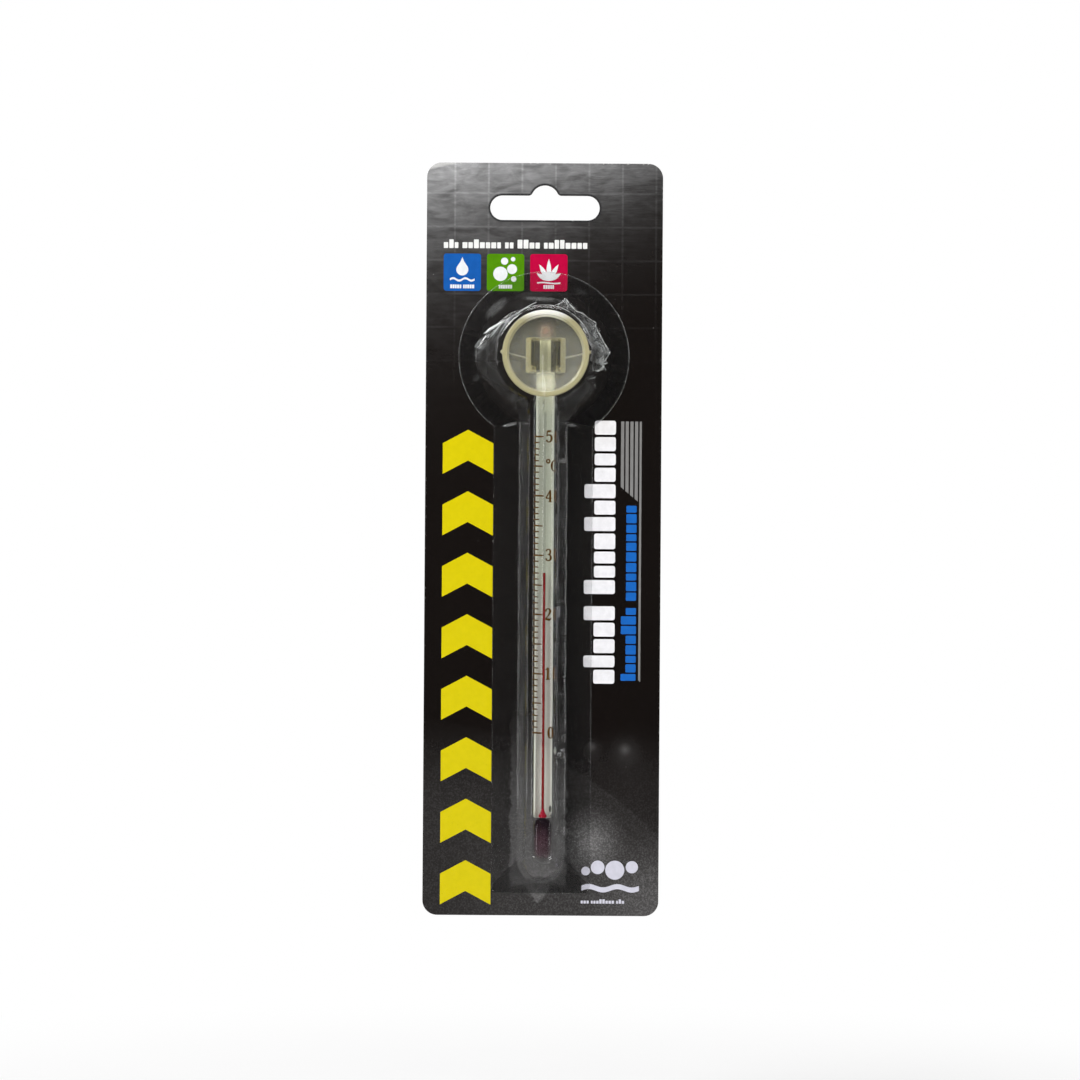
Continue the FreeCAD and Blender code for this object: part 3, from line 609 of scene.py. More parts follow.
def floor_paint():
    """Plain pale studio floor that melts into the white surround."""
    s = Shader("floor_paint")
    mottle = s.noise(0.02, 3.0)
    colour = s.mix(mottle, (0.86, 0.86, 0.86, 1), (0.90, 0.90, 0.90, 1))
    near = s.principled(Base_Color=colour, Roughness=0.7, Normal=s.bump(mottle, 0.1, 0.2))
    far = s.surface("ShaderNodeEmission", Color=(1, 1, 1, 1), Strength=1.0)
    path = s.node("ShaderNodeLightPath")
    away = s.math("SQRT", s.add(s.math("POWER", s.x, 2.0), s.math("POWER", s.y, 2.0)))
    share = s.times(s.step(away, 90.0, 420.0), path.outputs["Is Camera Ray"])
    unlit = s.surface("ShaderNodeEmission", Color=(1, 1, 1, 1), Strength=0.03)
    near = s.blend(path.outputs["Is Glossy Ray"], near, unlit)
    return s.finish(s.blend(share, near, far))


# Mesh helpers: points in millimetres, faces by index


def piece(name, points, faces, material, smooth=True):
    mesh = bpy.data.meshes.new(name)
    mesh.from_pydata([Vector(p) * MM for p in points], [], faces)
    mesh.validate()
    made = bmesh.new()
    made.from_mesh(mesh)
    bmesh.ops.remove_doubles(made, verts=made.verts, dist=1e-7)
    bmesh.ops.recalc_face_normals(made, faces=made.faces)
    made.to_mesh(mesh)
    made.free()
    for face in mesh.polygons:
        face.use_smooth = smooth
    mesh.materials.append(material)
    thing = bpy.data.objects.new(name, mesh)
    bpy.context.scene.collection.objects.link(thing)
    return thing


def smooth_by_angle(thing, degrees=35):
    """Smooth shading with hard edges kept where the surface turns by more than the angle."""
    thing.data.set_sharp_from_angle(angle=math.radians(degrees))


def grid_faces(rows, columns, closed=False, start=0):
    """Quads between rows of points, each row with the same number of columns."""
    faces = []
    for row in range(rows - 1):
        for column in range(columns if closed else columns - 1):
            a = start + row * columns + column
            b = start + row * columns + (column + 1) % columns
            faces.append((a, b, b + columns, a + columns))
    return faces


def lathe(profile, place_point, steps):
    """Points and faces of a profile of (radius, height) turned a full turn. place_point sets the axis."""
    points = []
    for radius, height in profile:
        for step in range(steps):
            turn = 2 * math.pi * step / steps
            points.append(place_point(radius * math.cos(turn), radius * math.sin(turn), height))
    return points, grid_faces(len(profile), steps, closed=True)


def on_stem(across, forward, height):
    return (STEM_X + across, -STEM_FORWARD - forward, height)


def arc(centre, radius, start, end, count):
    """Points (x, y) along an arc, with angles in degrees."""
    turns = [math.radians(start + (end - start) * i / count) for i in range(count + 1)]
    return [(centre[0] + radius * math.cos(t), centre[1] + radius * math.sin(t)) for t in turns]


def rounded_corner(before, corner, after, radius, count):
    """Points of the arc that rounds a corner of a path."""
    before, corner, after = Vector(before), Vector(corner), Vector(after)
    into = (before - corner).normalized()
    away = (after - corner).normalized()
    half = into.angle(away) / 2
    reach = min(radius / math.tan(half), (before - corner).length * 0.49, (after - corner).length * 0.49)
    radius = reach * math.tan(half)
    centre = corner + (into + away).normalized() * (radius / math.sin(half))
    start, end = corner + into * reach - centre, corner + away * reach - centre
    points = []
    for i in range(count + 1):
        share = i / count
        mixed = start.lerp(end, share)
        points.append(tuple(centre + mixed.normalized() * radius))
    return points


def rounded_path(corners, radii, count=5):
    """An open path with each inner corner rounded by its own radius."""
    points = [tuple(corners[0])]
    for before, corner, after, radius in zip(corners, corners[1:], corners[2:], radii):
        points += rounded_corner(before, corner, after, radius, count)
    points.append(tuple(corners[-1]))
    return points


def slabs(name, outlines, material, front, thick=0.01):
    """Flat printed shapes in one mesh: each outline is a loop of (x, z) on the card's face."""
    points, faces = [], []
    for index, outline in enumerate(outlines):
        start, count = len(points), len(outline)
        near = -front + 0.0005 * (index % 9)
        points += [(x, near, z) for x, z in outline]
        points += [(x, -front + thick, z) for x, z in outline]
        faces.append(tuple(range(start, start + count)))
        faces.append(tuple(range(start + 2 * count - 1, start + count - 1, -1)))
        for i in range(count):
            j = (i + 1) % count
            faces.append((start + i, start + j, start + count + j, start + count + i))
    return piece(name, points, faces, material, smooth=False)


def rectangle(left, bottom, right, top, radius=0.0):
    """A loop of (x, z) round a rectangle, with rounded corners if a radius is given."""
    if radius <= 0:
        return [(left, bottom), (right, bottom), (right, top), (left, top)]
    loop = []
    for x, z, turn in (
        (right - radius, bottom + radius, -90),
        (right - radius, top - radius, 0),
        (left + radius, top - radius, 90),
        (left + radius, bottom + radius, 180),
    ):
        loop += arc((x, z), radius, turn, turn + 90, 5)
    return loop


# The card's print: generic shapes only, in thin ink on the printed face

INK_THICK = 0.012
ICON_TOP, ICON_SIDE, ICON_GAP, ICON_LEFT = -20.1, 10.9, 1.75, -29.5


def word_blocks(words, start, size, gap, seed):
    """Blocks that stand for the letters of words: (from, to, height) along the line, in shares of size."""
    draw = random.Random(seed)
    blocks, at = [], start
    for count in words:
        for _ in range(count):
            width = size * draw.choice((0.42, 0.5, 0.5, 0.56))
            blocks.append((at, at + width, draw.choice((0.68, 0.68, 0.68, 1.0))))
            at += width + gap
        at += size * 0.35
    return blocks


def print_slogan():
    left, base, size = ICON_LEFT, -18.5, 2.56
    blocks = word_blocks((3, 7, 2, 4, 8), left, size, 0.31, 3)
    outlines = [rectangle(a, base, b, base + size * tall, 0.2) for a, b, tall in blocks]
    return slabs("slogan_blocks", outlines, flat_ink("white_ink", srgb(232, 232, 230)), FACE + INK_THICK)


def icon_square(index, name, colour):
    left = ICON_LEFT + index * (ICON_SIDE + ICON_GAP)
    outline = rectangle(left, ICON_TOP - ICON_SIDE, left + ICON_SIDE, ICON_TOP, 0.8)
    return slabs(name, [outline], flat_ink(name + "_ink", colour, 0.88), FACE + INK_THICK)


def icon_middle(index):
    return ICON_LEFT + index * (ICON_SIDE + ICON_GAP) + ICON_SIDE / 2, ICON_TOP - ICON_SIDE / 2


def drop_outline(x, z, radius):
    """A water drop with its point up."""
    round_part = arc((x, z), radius, 150, 390, 20)
    return round_part + [(x + radius * 0.32, z + radius * 1.3), (x, z + radius * 2.1), (x - radius * 0.32, z + radius * 1.3)]


def wave_band(left, right, z, height, thick, waves):
    """A band that waves up and down."""
    count = 24
    top, bottom = [], []
    for i in range(count + 1):
        x = left + (right - left) * i / count
        rise = height * math.sin(2 * math.pi * waves * i / count)
        top.append((x, z + rise + thick / 2))
        bottom.append((x, z + rise - thick / 2))
    return bottom + top[::-1]


def leaf(x, z, length, width, lean):
    """A pointed leaf that leans by an angle in degrees."""
    left, right = [], []
    for i in range(9):
        share = i / 8
        half = width / 2 * math.sin(math.pi * share)
        left.append((-half, length * share))
        right.append((half, length * share))
    turn = math.radians(lean)
    loop = right + left[-2:0:-1]
    return [(x + u * math.cos(turn) + v * math.sin(turn), z - u * math.sin(turn) + v * math.cos(turn)) for u, v in loop]


def print_icon_art():
    """A drop over a wave, a cluster of bubbles, and a sprig of leaves."""
    outlines = []
    lift = 0.8
    x, z = icon_middle(0)
    outlines.append(drop_outline(x, z + lift, 1.75))
    outlines.append(wave_band(x - 3.6, x + 3.6, z + lift - 2.9, 0.35, 0.6, 2))
    x, z = icon_middle(1)
    for dx, dz, radius in ((-1.5, -1.2, 2.1), (1.9, 0.2, 1.45), (-0.3, 2.5, 1.05), (2.2, 3.1, 0.65), (2.4, -2.7, 0.8)):
        outlines.append(arc((x + dx, z + lift + dz), radius, 0, 348, 24))
    x, z = icon_middle(2)
    for degrees, length in ((-58, 4.2), (-30, 5.6), (0, 6.5), (30, 5.6), (58, 4.2)):
        outlines.append(leaf(x, z + lift - 3.2, length, 1.35, degrees))
    outlines.append(wave_band(x - 3.4, x + 3.4, z + lift - 3.8, 0.15, 0.4, 1))
    for index, words in enumerate(((5, 5), (6,), (5,))):
        x, z = icon_middle(index)
        blocks = word_blocks(words, 0.0, 1.15, 0.12, 30 + index)
        left = x - blocks[-1][1] / 2
        outlines += [rectangle(left + a, z - 4.7, left + b, z - 3.6, 0.08) for a, b, _ in blocks]
    return slabs("icon_art", outlines, flat_ink("icon_art_ink", srgb(228, 230, 232)), FACE + 2 * INK_THICK)


def print_yellow_column():
    """A bold column of chevrons up the left side."""
    left, right = -29.4, -14.6
    bottom, top = -210.4, -71.6
    count = 8
    pitch = (top - bottom) / (count - 0.28)
    thick, rise = pitch * 0.50, pitch * 0.22
    middle = (left + right) / 2
    outlines = []
    for i in range(count):
        z = bottom + i * pitch
        outlines.append([(left, z), (middle, z + rise), (right, z), (right, z + thick), (middle, z + rise + thick), (left, z + thick)])
    ink = flat_ink("yellow_ink", srgb(208, 192, 0), 0.95)
    return slabs("yellow_chevrons", outlines, ink, FACE + INK_THICK)


def upright_blocks(name, words, left, size, bottom, top, ink, seed, share=0.5):
    """A line of word blocks that runs up the card, fitted between bottom and top."""
    blocks = word_blocks(words, 0.0, size, size * 0.09, seed)
    length = blocks[-1][1]
    stretch = (top - bottom) / length
    outlines = []
    for a, b, tall in blocks:
        reach = size * tall
        outlines.append(rectangle(left + size - reach, bottom + a * stretch, left + size, bottom + b * stretch, size * 0.07))
    return slabs(name, outlines, ink, FACE + INK_THICK)


def print_stripes():
    """Five grey stripes whose lower ends step down, the last of which runs on."""
    top, first, width, pitch = -68.9, 22.7, 0.92, 1.36
    outlines = []
    for i in range(5):
        left = first + i * pitch
        low = -88.8 - i * 1.15
        if i == 4:
            low = -145.0
            width = 0.62
        outlines.append([(left, low + width * 0.8), (left + width, low), (left + width, top), (left, top)])
    return slabs("grey_stripes", outlines, flat_ink("grey_ink", srgb(128, 127, 126)), FACE + INK_THICK)


def print_emblem():
    """Bubbles over a wave in the lower right corner, with a line of small blocks below."""
    x, z = 20.4, -200.0
    outlines = [arc((x + dx, z + dz), r, 0, 350, 24) for dx, dz, r in ((-7.2, -0.4, 1.3), (-3.7, 0.7, 2.0), (1.3, -0.1, 2.8), (6.3, 0.8, 1.8))]
    outlines.append(wave_band(x - 8.4, x + 8.4, z - 5.4, 0.5, 1.5, 2))
    for a, b, tall in word_blocks((3, 8, 3), x - 8.6, 1.25, 0.2, 8):
        outlines.append(rectangle(a, z - 9.9, b, z - 9.9 + 1.25 * tall, 0.1))
    return slabs("emblem", outlines, flat_ink("emblem_ink", srgb(205, 204, 216)), FACE + INK_THICK)


def make_print():
    white = flat_ink("title_ink", srgb(234, 233, 236))
    blue = flat_ink("subtitle_ink", srgb(22, 98, 184))
    prints = [
        print_slogan(),
        icon_square(0, "blue_icon", srgb(22, 88, 168)),
        icon_square(1, "green_icon", srgb(78, 138, 6)),
        icon_square(2, "crimson_icon", srgb(186, 2, 60)),
        print_icon_art(),
        print_yellow_column(),
        upright_blocks("title_blocks", (5, 11), 12.1, 9.1, -145.6, -68.7, white, 5),
        upright_blocks("subtitle_blocks", (8, 10), 23.0, 4.4, -144.7, -93.5, blue, 6),
        print_stripes(),
        print_emblem(),
    ]
    for ink in prints:
        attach(ink, "card")


# The blister: one formed sheet, drawn as stations along its outline with the same profile at each

FILM = 0.35
FLANGE_FRONT = FACE + 0.05 + FILM
DOME_Z = BLISTER_HIGH.z - 25.0
DOME_BASE, DOME_CROWN, DOME_TOP = 19.7, 13.9, -BLISTER_LOW.y
CHANNEL_BASE, CHANNEL_CROWN, CHANNEL_TOP = 6.9, 4.5, 10.5
CHANNEL_END = -204.0
END_Z = CHANNEL_END + CHANNEL_BASE
FLANGE_R, FLANGE_HALF = 25.0, BLISTER_HIGH.x - 10.5


def ease(share):
    share = min(max(share, 0.0), 1.0)
    return share * share * (3 - 2 * share)


def lerp(table, at):
    """Straight steps between the (place, value) pairs of a table."""
    for (low, first), (high, second) in zip(table, table[1:]):
        if at <= high:
            return first + (second - first) * max(at - low, 0.0) / (high - low)
    return table[-1][1]


def smooth_lerp(table, at):
    """The same, through a curve without corners."""
    return sum(lerp(table, at + shift) for shift in (-6, -4, -2, 0, 2, 4, 6)) / 7


# The foot of the crushed side of the dome: degrees round the dome's middle, and the distance from it
CRUSHED_FOOT = (
    (-28, 16.6), (-20, 16.2), (-15, 16.3), (-9, 17.8), (-5, 17.6), (0, 18.6), (4, 19.4), (12, 18.2), (22, 17.6), (30, 17.3),
    (33, 18.3), (42, 17.2), (49, 17.2), (54, 16.4), (64, 17.1), (70, 18.3), (72, 16.6), (78, 15.5), (84, 14.9),
)
# and the sound side of the dome
SMOOTH_FOOT = ((84, 14.9), (100, 14.9), (120, 15.3), (135, 15.6), (147, 16.2), (157, 17.2), (165, 18.3), (173, 19.3), (180, 20.0))
# A painted highlight, drawn as a white tube along the sound side: degrees, distance, half thickness
PAINTED_HIGHLIGHT = (
    (98, 16.2, 0.05), (104, 15.7, 0.08), (110, 15.3, 0.09), (120, 14.95, 0.10), (132, 15.2, 0.13), (140, 15.75, 0.19),
    (147, 16.6, 0.34), (153, 17.6, 0.40), (157, 18.4, 0.28), (159, 18.9, 0.06),
)
CRUSH_START, CRUSH_END = CRUSHED_FOOT[0][0], CRUSHED_FOOT[-1][0]
CRUSH_BELOW = 17.2 * math.sin(math.radians(-CRUSH_START))


def foot_radius(degrees):
    """Where the dome's wall meets the flange: creased at the right, leaning in at the top."""
    if degrees < CRUSH_END:
        return lerp(CRUSHED_FOOT, degrees)
    return smooth_lerp(SMOOTH_FOOT, degrees)


def crown_half(below):
    """Half the width of the flat top, at a distance below the dome's middle."""
    head = math.sqrt(max(DOME_CROWN**2 - below**2, 0.0))
    return (head**7 + CHANNEL_CROWN**7) ** (1 / 7)


def lower_station(z, side):
    """A station below the dome's middle: the spine, the foot, the flange's edge, flank width, height, fillet."""
    below = DOME_Z - z
    if side > 0:
        foot = 15.2 + (CHANNEL_BASE - 15.2) * ease((below - CRUSH_BELOW) / 12.6)
    else:
        foot = 20.0 + (CHANNEL_BASE - 20.0) * ease((below - 1.0) / 19.5)
    top = DOME_TOP + (CHANNEL_TOP - DOME_TOP) * ease((below - 12.4) / 4.6)
    wide = math.sqrt(max(FLANGE_R**2 - below**2, 0)) if below < 20.4 else 0
    edge = Vector((side * max(wide, FLANGE_HALF), z))
    if side > 0 and below < 20.4:
        turn = math.radians(-CRUSH_START + (54.7 + CRUSH_START) * (below - CRUSH_BELOW) / (20.4 - CRUSH_BELOW))
        edge = Vector((FLANGE_R * math.cos(turn), DOME_Z - FLANGE_R * math.sin(turn)))
    flank = foot - min(crown_half(below), foot - 1.0)
    return Vector((0, z)), Vector((side * foot, z)), edge, flank, top, 0.9


def dome_station(degrees):
    turn = math.radians(degrees)
    out = Vector((math.cos(turn), math.sin(turn)))
    spine = Vector((0, DOME_Z))
    foot = foot_radius(degrees)
    fillet = 0.5 + 0.5 * ease((degrees - 100) / 40) * ease((215 - degrees) / 60)
    if degrees < CRUSH_END:
        fillet = 0.35
    return spine, spine + out * foot, spine + out * FLANGE_R, foot - DOME_CROWN, DOME_TOP, fillet


def end_station(turn):
    """A station round the channel's lower end, with turn in radians below the horizontal."""
    out = Vector((math.cos(turn), -math.sin(turn)))
    spine = Vector((0, END_Z))
    across = FLANGE_HALF / max(abs(out.x), 1e-6)
    down = (END_Z - BLISTER_LOW.z) / max(abs(out.y), 1e-6)
    reach = (across**-14 + down**-14) ** (-1 / 14)
    return spine, spine + out * CHANNEL_BASE, spine + out * reach, CHANNEL_BASE - CHANNEL_CROWN, CHANNEL_TOP, 0.9


def station_points(spine, outline, edge, flank, top, fillet):
    """The formed sheet's outside surface from the flange's edge to the spine."""
    out = (outline - spine).normalized()
    flange = (edge - outline).length
    reach = (outline - spine).length
    corners = [(-flange, FLANGE_FRONT), (0.0, FLANGE_FRONT), (flank, top), (reach, top)]
    path = rounded_path(corners, (fillet, 1.3), 7)
    flank_count, crown_count = 12, 6
    foot, shoulder = path[8], path[9]
    middle = [Vector(foot).lerp(Vector(shoulder), i / flank_count) for i in range(1, flank_count)]
    start = Vector(path[-2])
    crown = [start.lerp(Vector(path[-1]), (i / crown_count)) for i in range(1, crown_count)]
    shares = (0.015, 0.04, 0.12, 0.22, 0.34, 0.46, 0.58, 0.70, 0.82, 0.92)
    rim = [Vector(path[0]).lerp(Vector(path[1]), share) for share in shares]
    full = [path[0], *rim, *path[1:9], *middle, *path[9:-1], *crown, path[-1]]
    points = []
    outwards = (edge - outline).normalized()
    for inset, forward in full:
        across = outline - (out if inset > 0 else outwards) * inset
        points.append(Vector((across.x, -forward, across.y)))
    return points


def dent(point):
    """Moves a point of the sheet where the pack has been knocked: a crushed right shoulder and a wavy channel."""
    forward = -point.y - FLANGE_FRONT
    moved = point.copy()
    x, z = point.x, point.z - DOME_Z
    if forward < 0.02:
        lift = noise.noise(Vector((x * 0.13, 0, z * 0.13))) + 0.5 * noise.noise(Vector((x * 0.3, 5, z * 0.3)))
        moved.y -= 0.12 * max(lift, 0.0)
        return moved
    rise = forward / (DOME_TOP - FLANGE_FRONT)
    radius = math.hypot(x, z)
    turn = math.degrees(math.atan2(z, x))
    if radius > 13.0 and CRUSH_START < turn < CRUSH_END:
        sector = ease((turn - CRUSH_START) / 8) * ease((CRUSH_END - turn) / 10)
        where = Vector((x * 0.30, z * 0.30, forward * 0.14))
        near = noise.voronoi(where)[0]
        crease = min(near[1] - near[0], 0.6)
        band = ease((radius - 13.4) / 1.2) * math.sin(math.pi * min(rise * 1.05 + 0.04, 1))
        inward = Vector((-x, 0, -z)).normalized()
        moved += inward * (1.5 * (0.6 - crease) - 0.5) * sector * band
        moved.y += 2.2 * crease * sector * band
    if z < -17 and x > CHANNEL_CROWN - 0.3:
        wave = noise.noise(Vector((0, 0, point.z * 0.10))) + 0.6 * noise.noise(Vector((3, 0, point.z * 0.27)))
        wall = math.sin(math.pi * min(forward / (CHANNEL_TOP - FLANGE_FRONT), 1))
        moved.x -= 3.4 * max(wave, -0.12) * wall * ease((-17 - z) / 4)
    drift = noise.noise(point * 0.06) * 0.25 * math.sin(math.pi * min(rise, 1))
    moved.x += drift
    return moved


def make_blister():
    quarter = math.pi / 2
    count = 260
    ends = 26
    right_top = DOME_Z - CRUSH_BELOW
    right = [END_Z + (right_top - END_Z) * i / count for i in range(count)]
    left = [DOME_Z + (END_Z - DOME_Z) * i / count for i in range(1, count + 1)]
    stations = [end_station(quarter - quarter * i / ends) for i in range(ends)]
    stations += [lower_station(z, 1) for z in right]
    stations += [dome_station(CRUSH_START + (180 - CRUSH_START) * i / 230) for i in range(231)]
    stations += [lower_station(z, -1) for z in left]
    stations += [end_station(math.pi - quarter * i / ends) for i in range(1, ends)]
    rows = [[dent(point) for point in station_points(*station)] for station in stations]
    columns = len(rows[0])
    points = [point for row in rows for point in row]
    faces = grid_faces(len(rows), columns)
    last = (len(rows) - 1) * columns
    faces += [(last + c, last + c + 1, c + 1, c) for c in range(columns - 1)]
    shell = piece("blister_shell", points, faces, clear_film())
    orient_forward(shell)
    thicken(shell, FILM)
    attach(shell, "blister")
    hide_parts("blister")
    make_creases()


def tube(path, radii, sides=6):
    """A closed thin tube along a path of points, with its own radius at each."""
    points = []
    for i, centre in enumerate(path):
        before, after = path[max(i - 1, 0)], path[min(i + 1, len(path) - 1)]
        along = (after - before).normalized()
        side = along.cross(Vector((0, 1, 0))).normalized()
        up = side.cross(along)
        for k in range(sides):
            turn = 2 * math.pi * k / sides
            points.append(centre + (side * math.cos(turn) + up * math.sin(turn)) * radii[i])
    faces = grid_faces(len(path), sides, closed=True)
    last = (len(path) - 1) * sides
    return points, faces + [tuple(range(sides))[::-1], tuple(last + k for k in range(sides))]


def round_dome(degrees, radius, forward):
    turn = math.radians(degrees)
    return Vector((radius * math.cos(turn), -forward, DOME_Z + radius * math.sin(turn)))


def make_creases():
    """White creases where the sheet was crushed and torn, a painted highlight along the crown's edge, and two short
    stiffening ribs at the neck.
    """
    draw = random.Random(21)
    points, faces = [], []
    spine = [round_dome(degrees, radius - 0.1, draw.uniform(1.6, 3.0)) for degrees, radius in CRUSHED_FOOT[2:-1]]
    full, widths = [], []
    for a, b in zip(spine, spine[1:]):
        for i in range(4):
            full.append(a.lerp(b, i / 4) + Vector([draw.uniform(-0.05, 0.05) for _ in range(3)]))
            widths.append(draw.choice((0.06, 0.09, 0.12, 0.16)))
    add_part(points, faces, *tube(full, widths))
    for degrees, outer, inner, swing in (
        (68, 17.0, 14.6, -6), (64, 15.7, 14.3, 9), (49, 15.6, 14.2, -5), (36, 16.2, 14.4, 8), (29, 17.4, 14.9, -9),
        (8, 17.8, 15.3, 7), (-4, 18.0, 15.8, -4), (-12, 18.4, 15.6, 6), (-22, 16.2, 14.6, -6),
    ):
        path = []
        for i in range(7):
            share = i / 6
            radius = outer + (inner - outer) * share
            path.append(round_dome(degrees + swing * share, radius, 4.0 + 9.0 * share))
        path = [p + Vector([draw.uniform(-0.1, 0.1) for _ in range(3)]) for p in path]
        add_part(points, faces, *tube(path, [0.10 - 0.07 * i / 6 for i in range(7)]))
    for spots in (((17.1, -1.83), (17.7, -1.9), (18.6, -1.6)), ((17.7, -2.7), (17.2, -3.5), (15.8, -4.1), (14.0, -3.8))):
        path = [Vector((x, -1.4, DOME_Z + z)) for x, z in spots]
        add_part(points, faces, *tube(path, [0.10, 0.14, 0.10, 0.04][: len(path)]))
    loop = [round_dome(*spot, 2.6) for spot in ((72, 16.6), (71.5, 15.9), (68, 15.7), (65.5, 15.9), (64, 17.1))]
    add_part(points, faces, *tube(loop, [0.08] * 5))
    # Painted highlight: a thin white tube along the crown's rounded edge, where it catches the lamps.
    crown = [round_dome(166 - 146 * i / 60, DOME_CROWN + 0.05, DOME_TOP - 0.5) for i in range(61)]
    add_part(points, faces, *tube(crown, [0.03 + 0.05 * abs(math.sin(i * 0.21)) for i in range(61)]))
    creases = piece("film_creases_and_crown_highlight", points, faces, whitened_and_lit_film())
    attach(creases, "blister")
    make_folds()
    points, faces = [], []
    for x, lean, length in ((-9.9, 12.0, 2.2), (8.4, -8.0, 1.3)):
        turn = math.radians(lean)
        path = []
        for i in range(13):
            along = length * (2 * i / 12 - 1)
            path.append(Vector((x + along * math.cos(turn), -FLANGE_FRONT - 0.05, DOME_Z - 19.9 + along * math.sin(turn))))
        radii = [0.02 + 0.40 * math.sqrt(max(1 - (2 * i / 12 - 1) ** 2, 0)) for i in range(13)]
        add_part(points, faces, *tube(path, radii, 12))
    ribs = piece("neck_ribs", points, faces, clear_film("rib_film", 0.10))
    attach(ribs, "blister")


# Flat milky sheets of painted reflection where facets of the crushed film catch the light, and the tear among them,
# across and up from the dome's middle
FACETS = (
    ((-17.6, 6.0), (-18.4, 2.2), (-20.4, 2.8), (-19.4, 4.4)),
    ((10.4, 9.6), (11.6, 11.2), (14.8, 9.4), (14.4, 8.0), (12.4, 7.0)),
    ((13.0, 6.2), (14.7, 7.8), (16.0, 6.2), (17.4, 3.4), (15.6, 2.0), (13.8, 3.0)),
    ((15.8, 1.8), (17.6, 3.2), (19.2, 1.2), (17.7, 0.6), (16.2, -0.6)),
)
TEAR = ((16.2, -0.96), (17.45, 0.42), (17.3, -0.6), (17.1, -1.83))


def make_folds():
    """A painted highlight on the sound side, drawn as a white tube with the tear's white lip in the same piece; flat
    sheets of painted reflection on the crushed side's grey facets; and the tear, a dark slab of painted shade.
    """
    # Painted highlight: a white tube where the sound side's wall catches the key light.
    path, widths = [], []
    for i in range(49):
        degrees = PAINTED_HIGHLIGHT[0][0] + (PAINTED_HIGHLIGHT[-1][0] - PAINTED_HIGHLIGHT[0][0]) * i / 48
        radius = smooth_lerp([(d, r) for d, r, _ in PAINTED_HIGHLIGHT], degrees) if 0 < i < 48 else lerp([(d, r) for d, r, _ in PAINTED_HIGHLIGHT], degrees)
        path.append(round_dome(degrees, radius, 1.3))
        widths.append(lerp([(d, w) for d, _, w in PAINTED_HIGHLIGHT], degrees))
    points, faces = tube(path, widths, 8)
    lip = [Vector((TEAR[i][0], -FLANGE_FRONT - 1.35, DOME_Z + TEAR[i][1])) for i in (0, 1, 2, 3, 0)]
    add_part(points, faces, *tube(lip, [0.05, 0.13, 0.09, 0.12, 0.05], 8))
    highlight_and_lip = piece("painted_highlight_and_tear_lip", points, faces, whitened_and_lit_film("highlight_and_lip_film", 0.90, 0.10))
    outlines = [[(x, DOME_Z + z) for x, z in facet] for facet in FACETS]
    # Painted reflection: flat milky sheets where the crushed film's facets catch the light.
    facets = slabs("lit_facet_sheets", outlines, whitened_and_lit_film("lit_facet_film", 0.05, 0.12), FLANGE_FRONT + 0.9, 0.05)
    hole = slabs("tear", [[(x, DOME_Z + z) for x, z in TEAR]], shade(), FLANGE_FRONT + 1.2, 0.05)
    for thing in (highlight_and_lip, facets, hole):
        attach(thing, "blister")


def shade():
    """The dark inside of the tear."""
    s = Shader("tear_shade")
    grime = s.noise(2.0, 3.0)
    colour = s.mix(grime, srgb(3, 3, 3), srgb(12, 11, 10))
    return s.finish(s.principled(Base_Color=colour, Roughness=0.8, Normal=s.bump(grime, 0.02, 0.3)))


def whitened_and_lit_film(name="whitened_and_lit_film", least=0.2, more=0.55):
    """Film whitened by folding, also used for painted highlights and painted reflections."""
    s = Shader(name)
    white = s.step(s.noise(0.9, 3.0, 0.6), 0.35, 0.65)
    body = s.principled(Base_Color=srgb(226, 230, 230), Roughness=0.2, Normal=s.bump(white, 0.05, 0.5))
    clear = s.surface("ShaderNodeBsdfTransparent", Color=(1, 1, 1, 1))
    return s.finish(s.blend(s.add(s.times(white, more), least), clear, body))


def orient_forward(shell):
    """Turns the sheet's normals so that its plateau faces out of the card."""
    total = sum((face.normal.y * face.area for face in shell.data.polygons), 0.0)
    if total > 0:
        shell.data.flip_normals()


def thicken(shell, thickness):
    """Gives a sheet its thickness, inwards from its outside surface, and applies it."""
    modifier = shell.modifiers.new("thickness", "SOLIDIFY")
    modifier.thickness = thickness * MM
    modifier.offset = -1.0
    modifier.use_even_offset = False
    apply_modifiers(shell)


def apply_modifiers(thing):
    depsgraph = bpy.context.evaluated_depsgraph_get()
    mesh = bpy.data.meshes.new_from_object(thing.evaluated_get(depsgraph))
    thing.modifiers.clear()
    old = thing.data
    thing.data = mesh
    bpy.data.meshes.remove(old)


# The thermometer

COLLAR_LENGTH, COLLAR_R = 10.1, 5.8
DISC_BACK = 11.4
BORE_R = 0.25


def make_stem():
    """A fire-polished rod with a domed top, made solid; the capillary above the spirit is its own piece."""
    top, bottom = STEM_HIGH.z, STEM_LOW.z
    dome = arc((0.0, top - STEM_R), STEM_R, 90, 0, 16)
    outside = dome + rounded_path([(STEM_R, top - STEM_R - 1), (STEM_R, bottom), (0.0, bottom)], (0.6,), 8)
    points, faces = lathe(outside, on_stem, 96)
    stem = piece("glass_rod", points, faces, stem_glass())
    smooth_by_angle(stem)
    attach(stem, "stem")
    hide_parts("glass_stem")


def make_bore():
    """The empty capillary above the spirit: a thin dark thread."""
    s = Shader("empty_bore")
    uneven = s.noise(1.0, 2.0, 0.5, (1.0, 1.0, 0.1))
    colour = s.mix(uneven, srgb(150, 152, 140), srgb(172, 174, 162))
    wall = s.principled(Base_Color=colour, Roughness=0.2, Normal=s.bump(uneven, 0.01, 0.2))
    clear = s.surface("ShaderNodeBsdfTransparent", Color=(1, 1, 1, 1))
    material = s.finish(s.blend(0.10, clear, wall))
    low, high = COLUMN_LOW.z, -66.5
    profile = [(0.0, low), (BORE_R, low), (BORE_R, high - 0.3), (BORE_R * 0.6, high), (0.0, high)]
    points, faces = lathe(profile, on_stem, 20)
    bore = piece("capillary", points, faces, material)
    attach(bore, "stem")


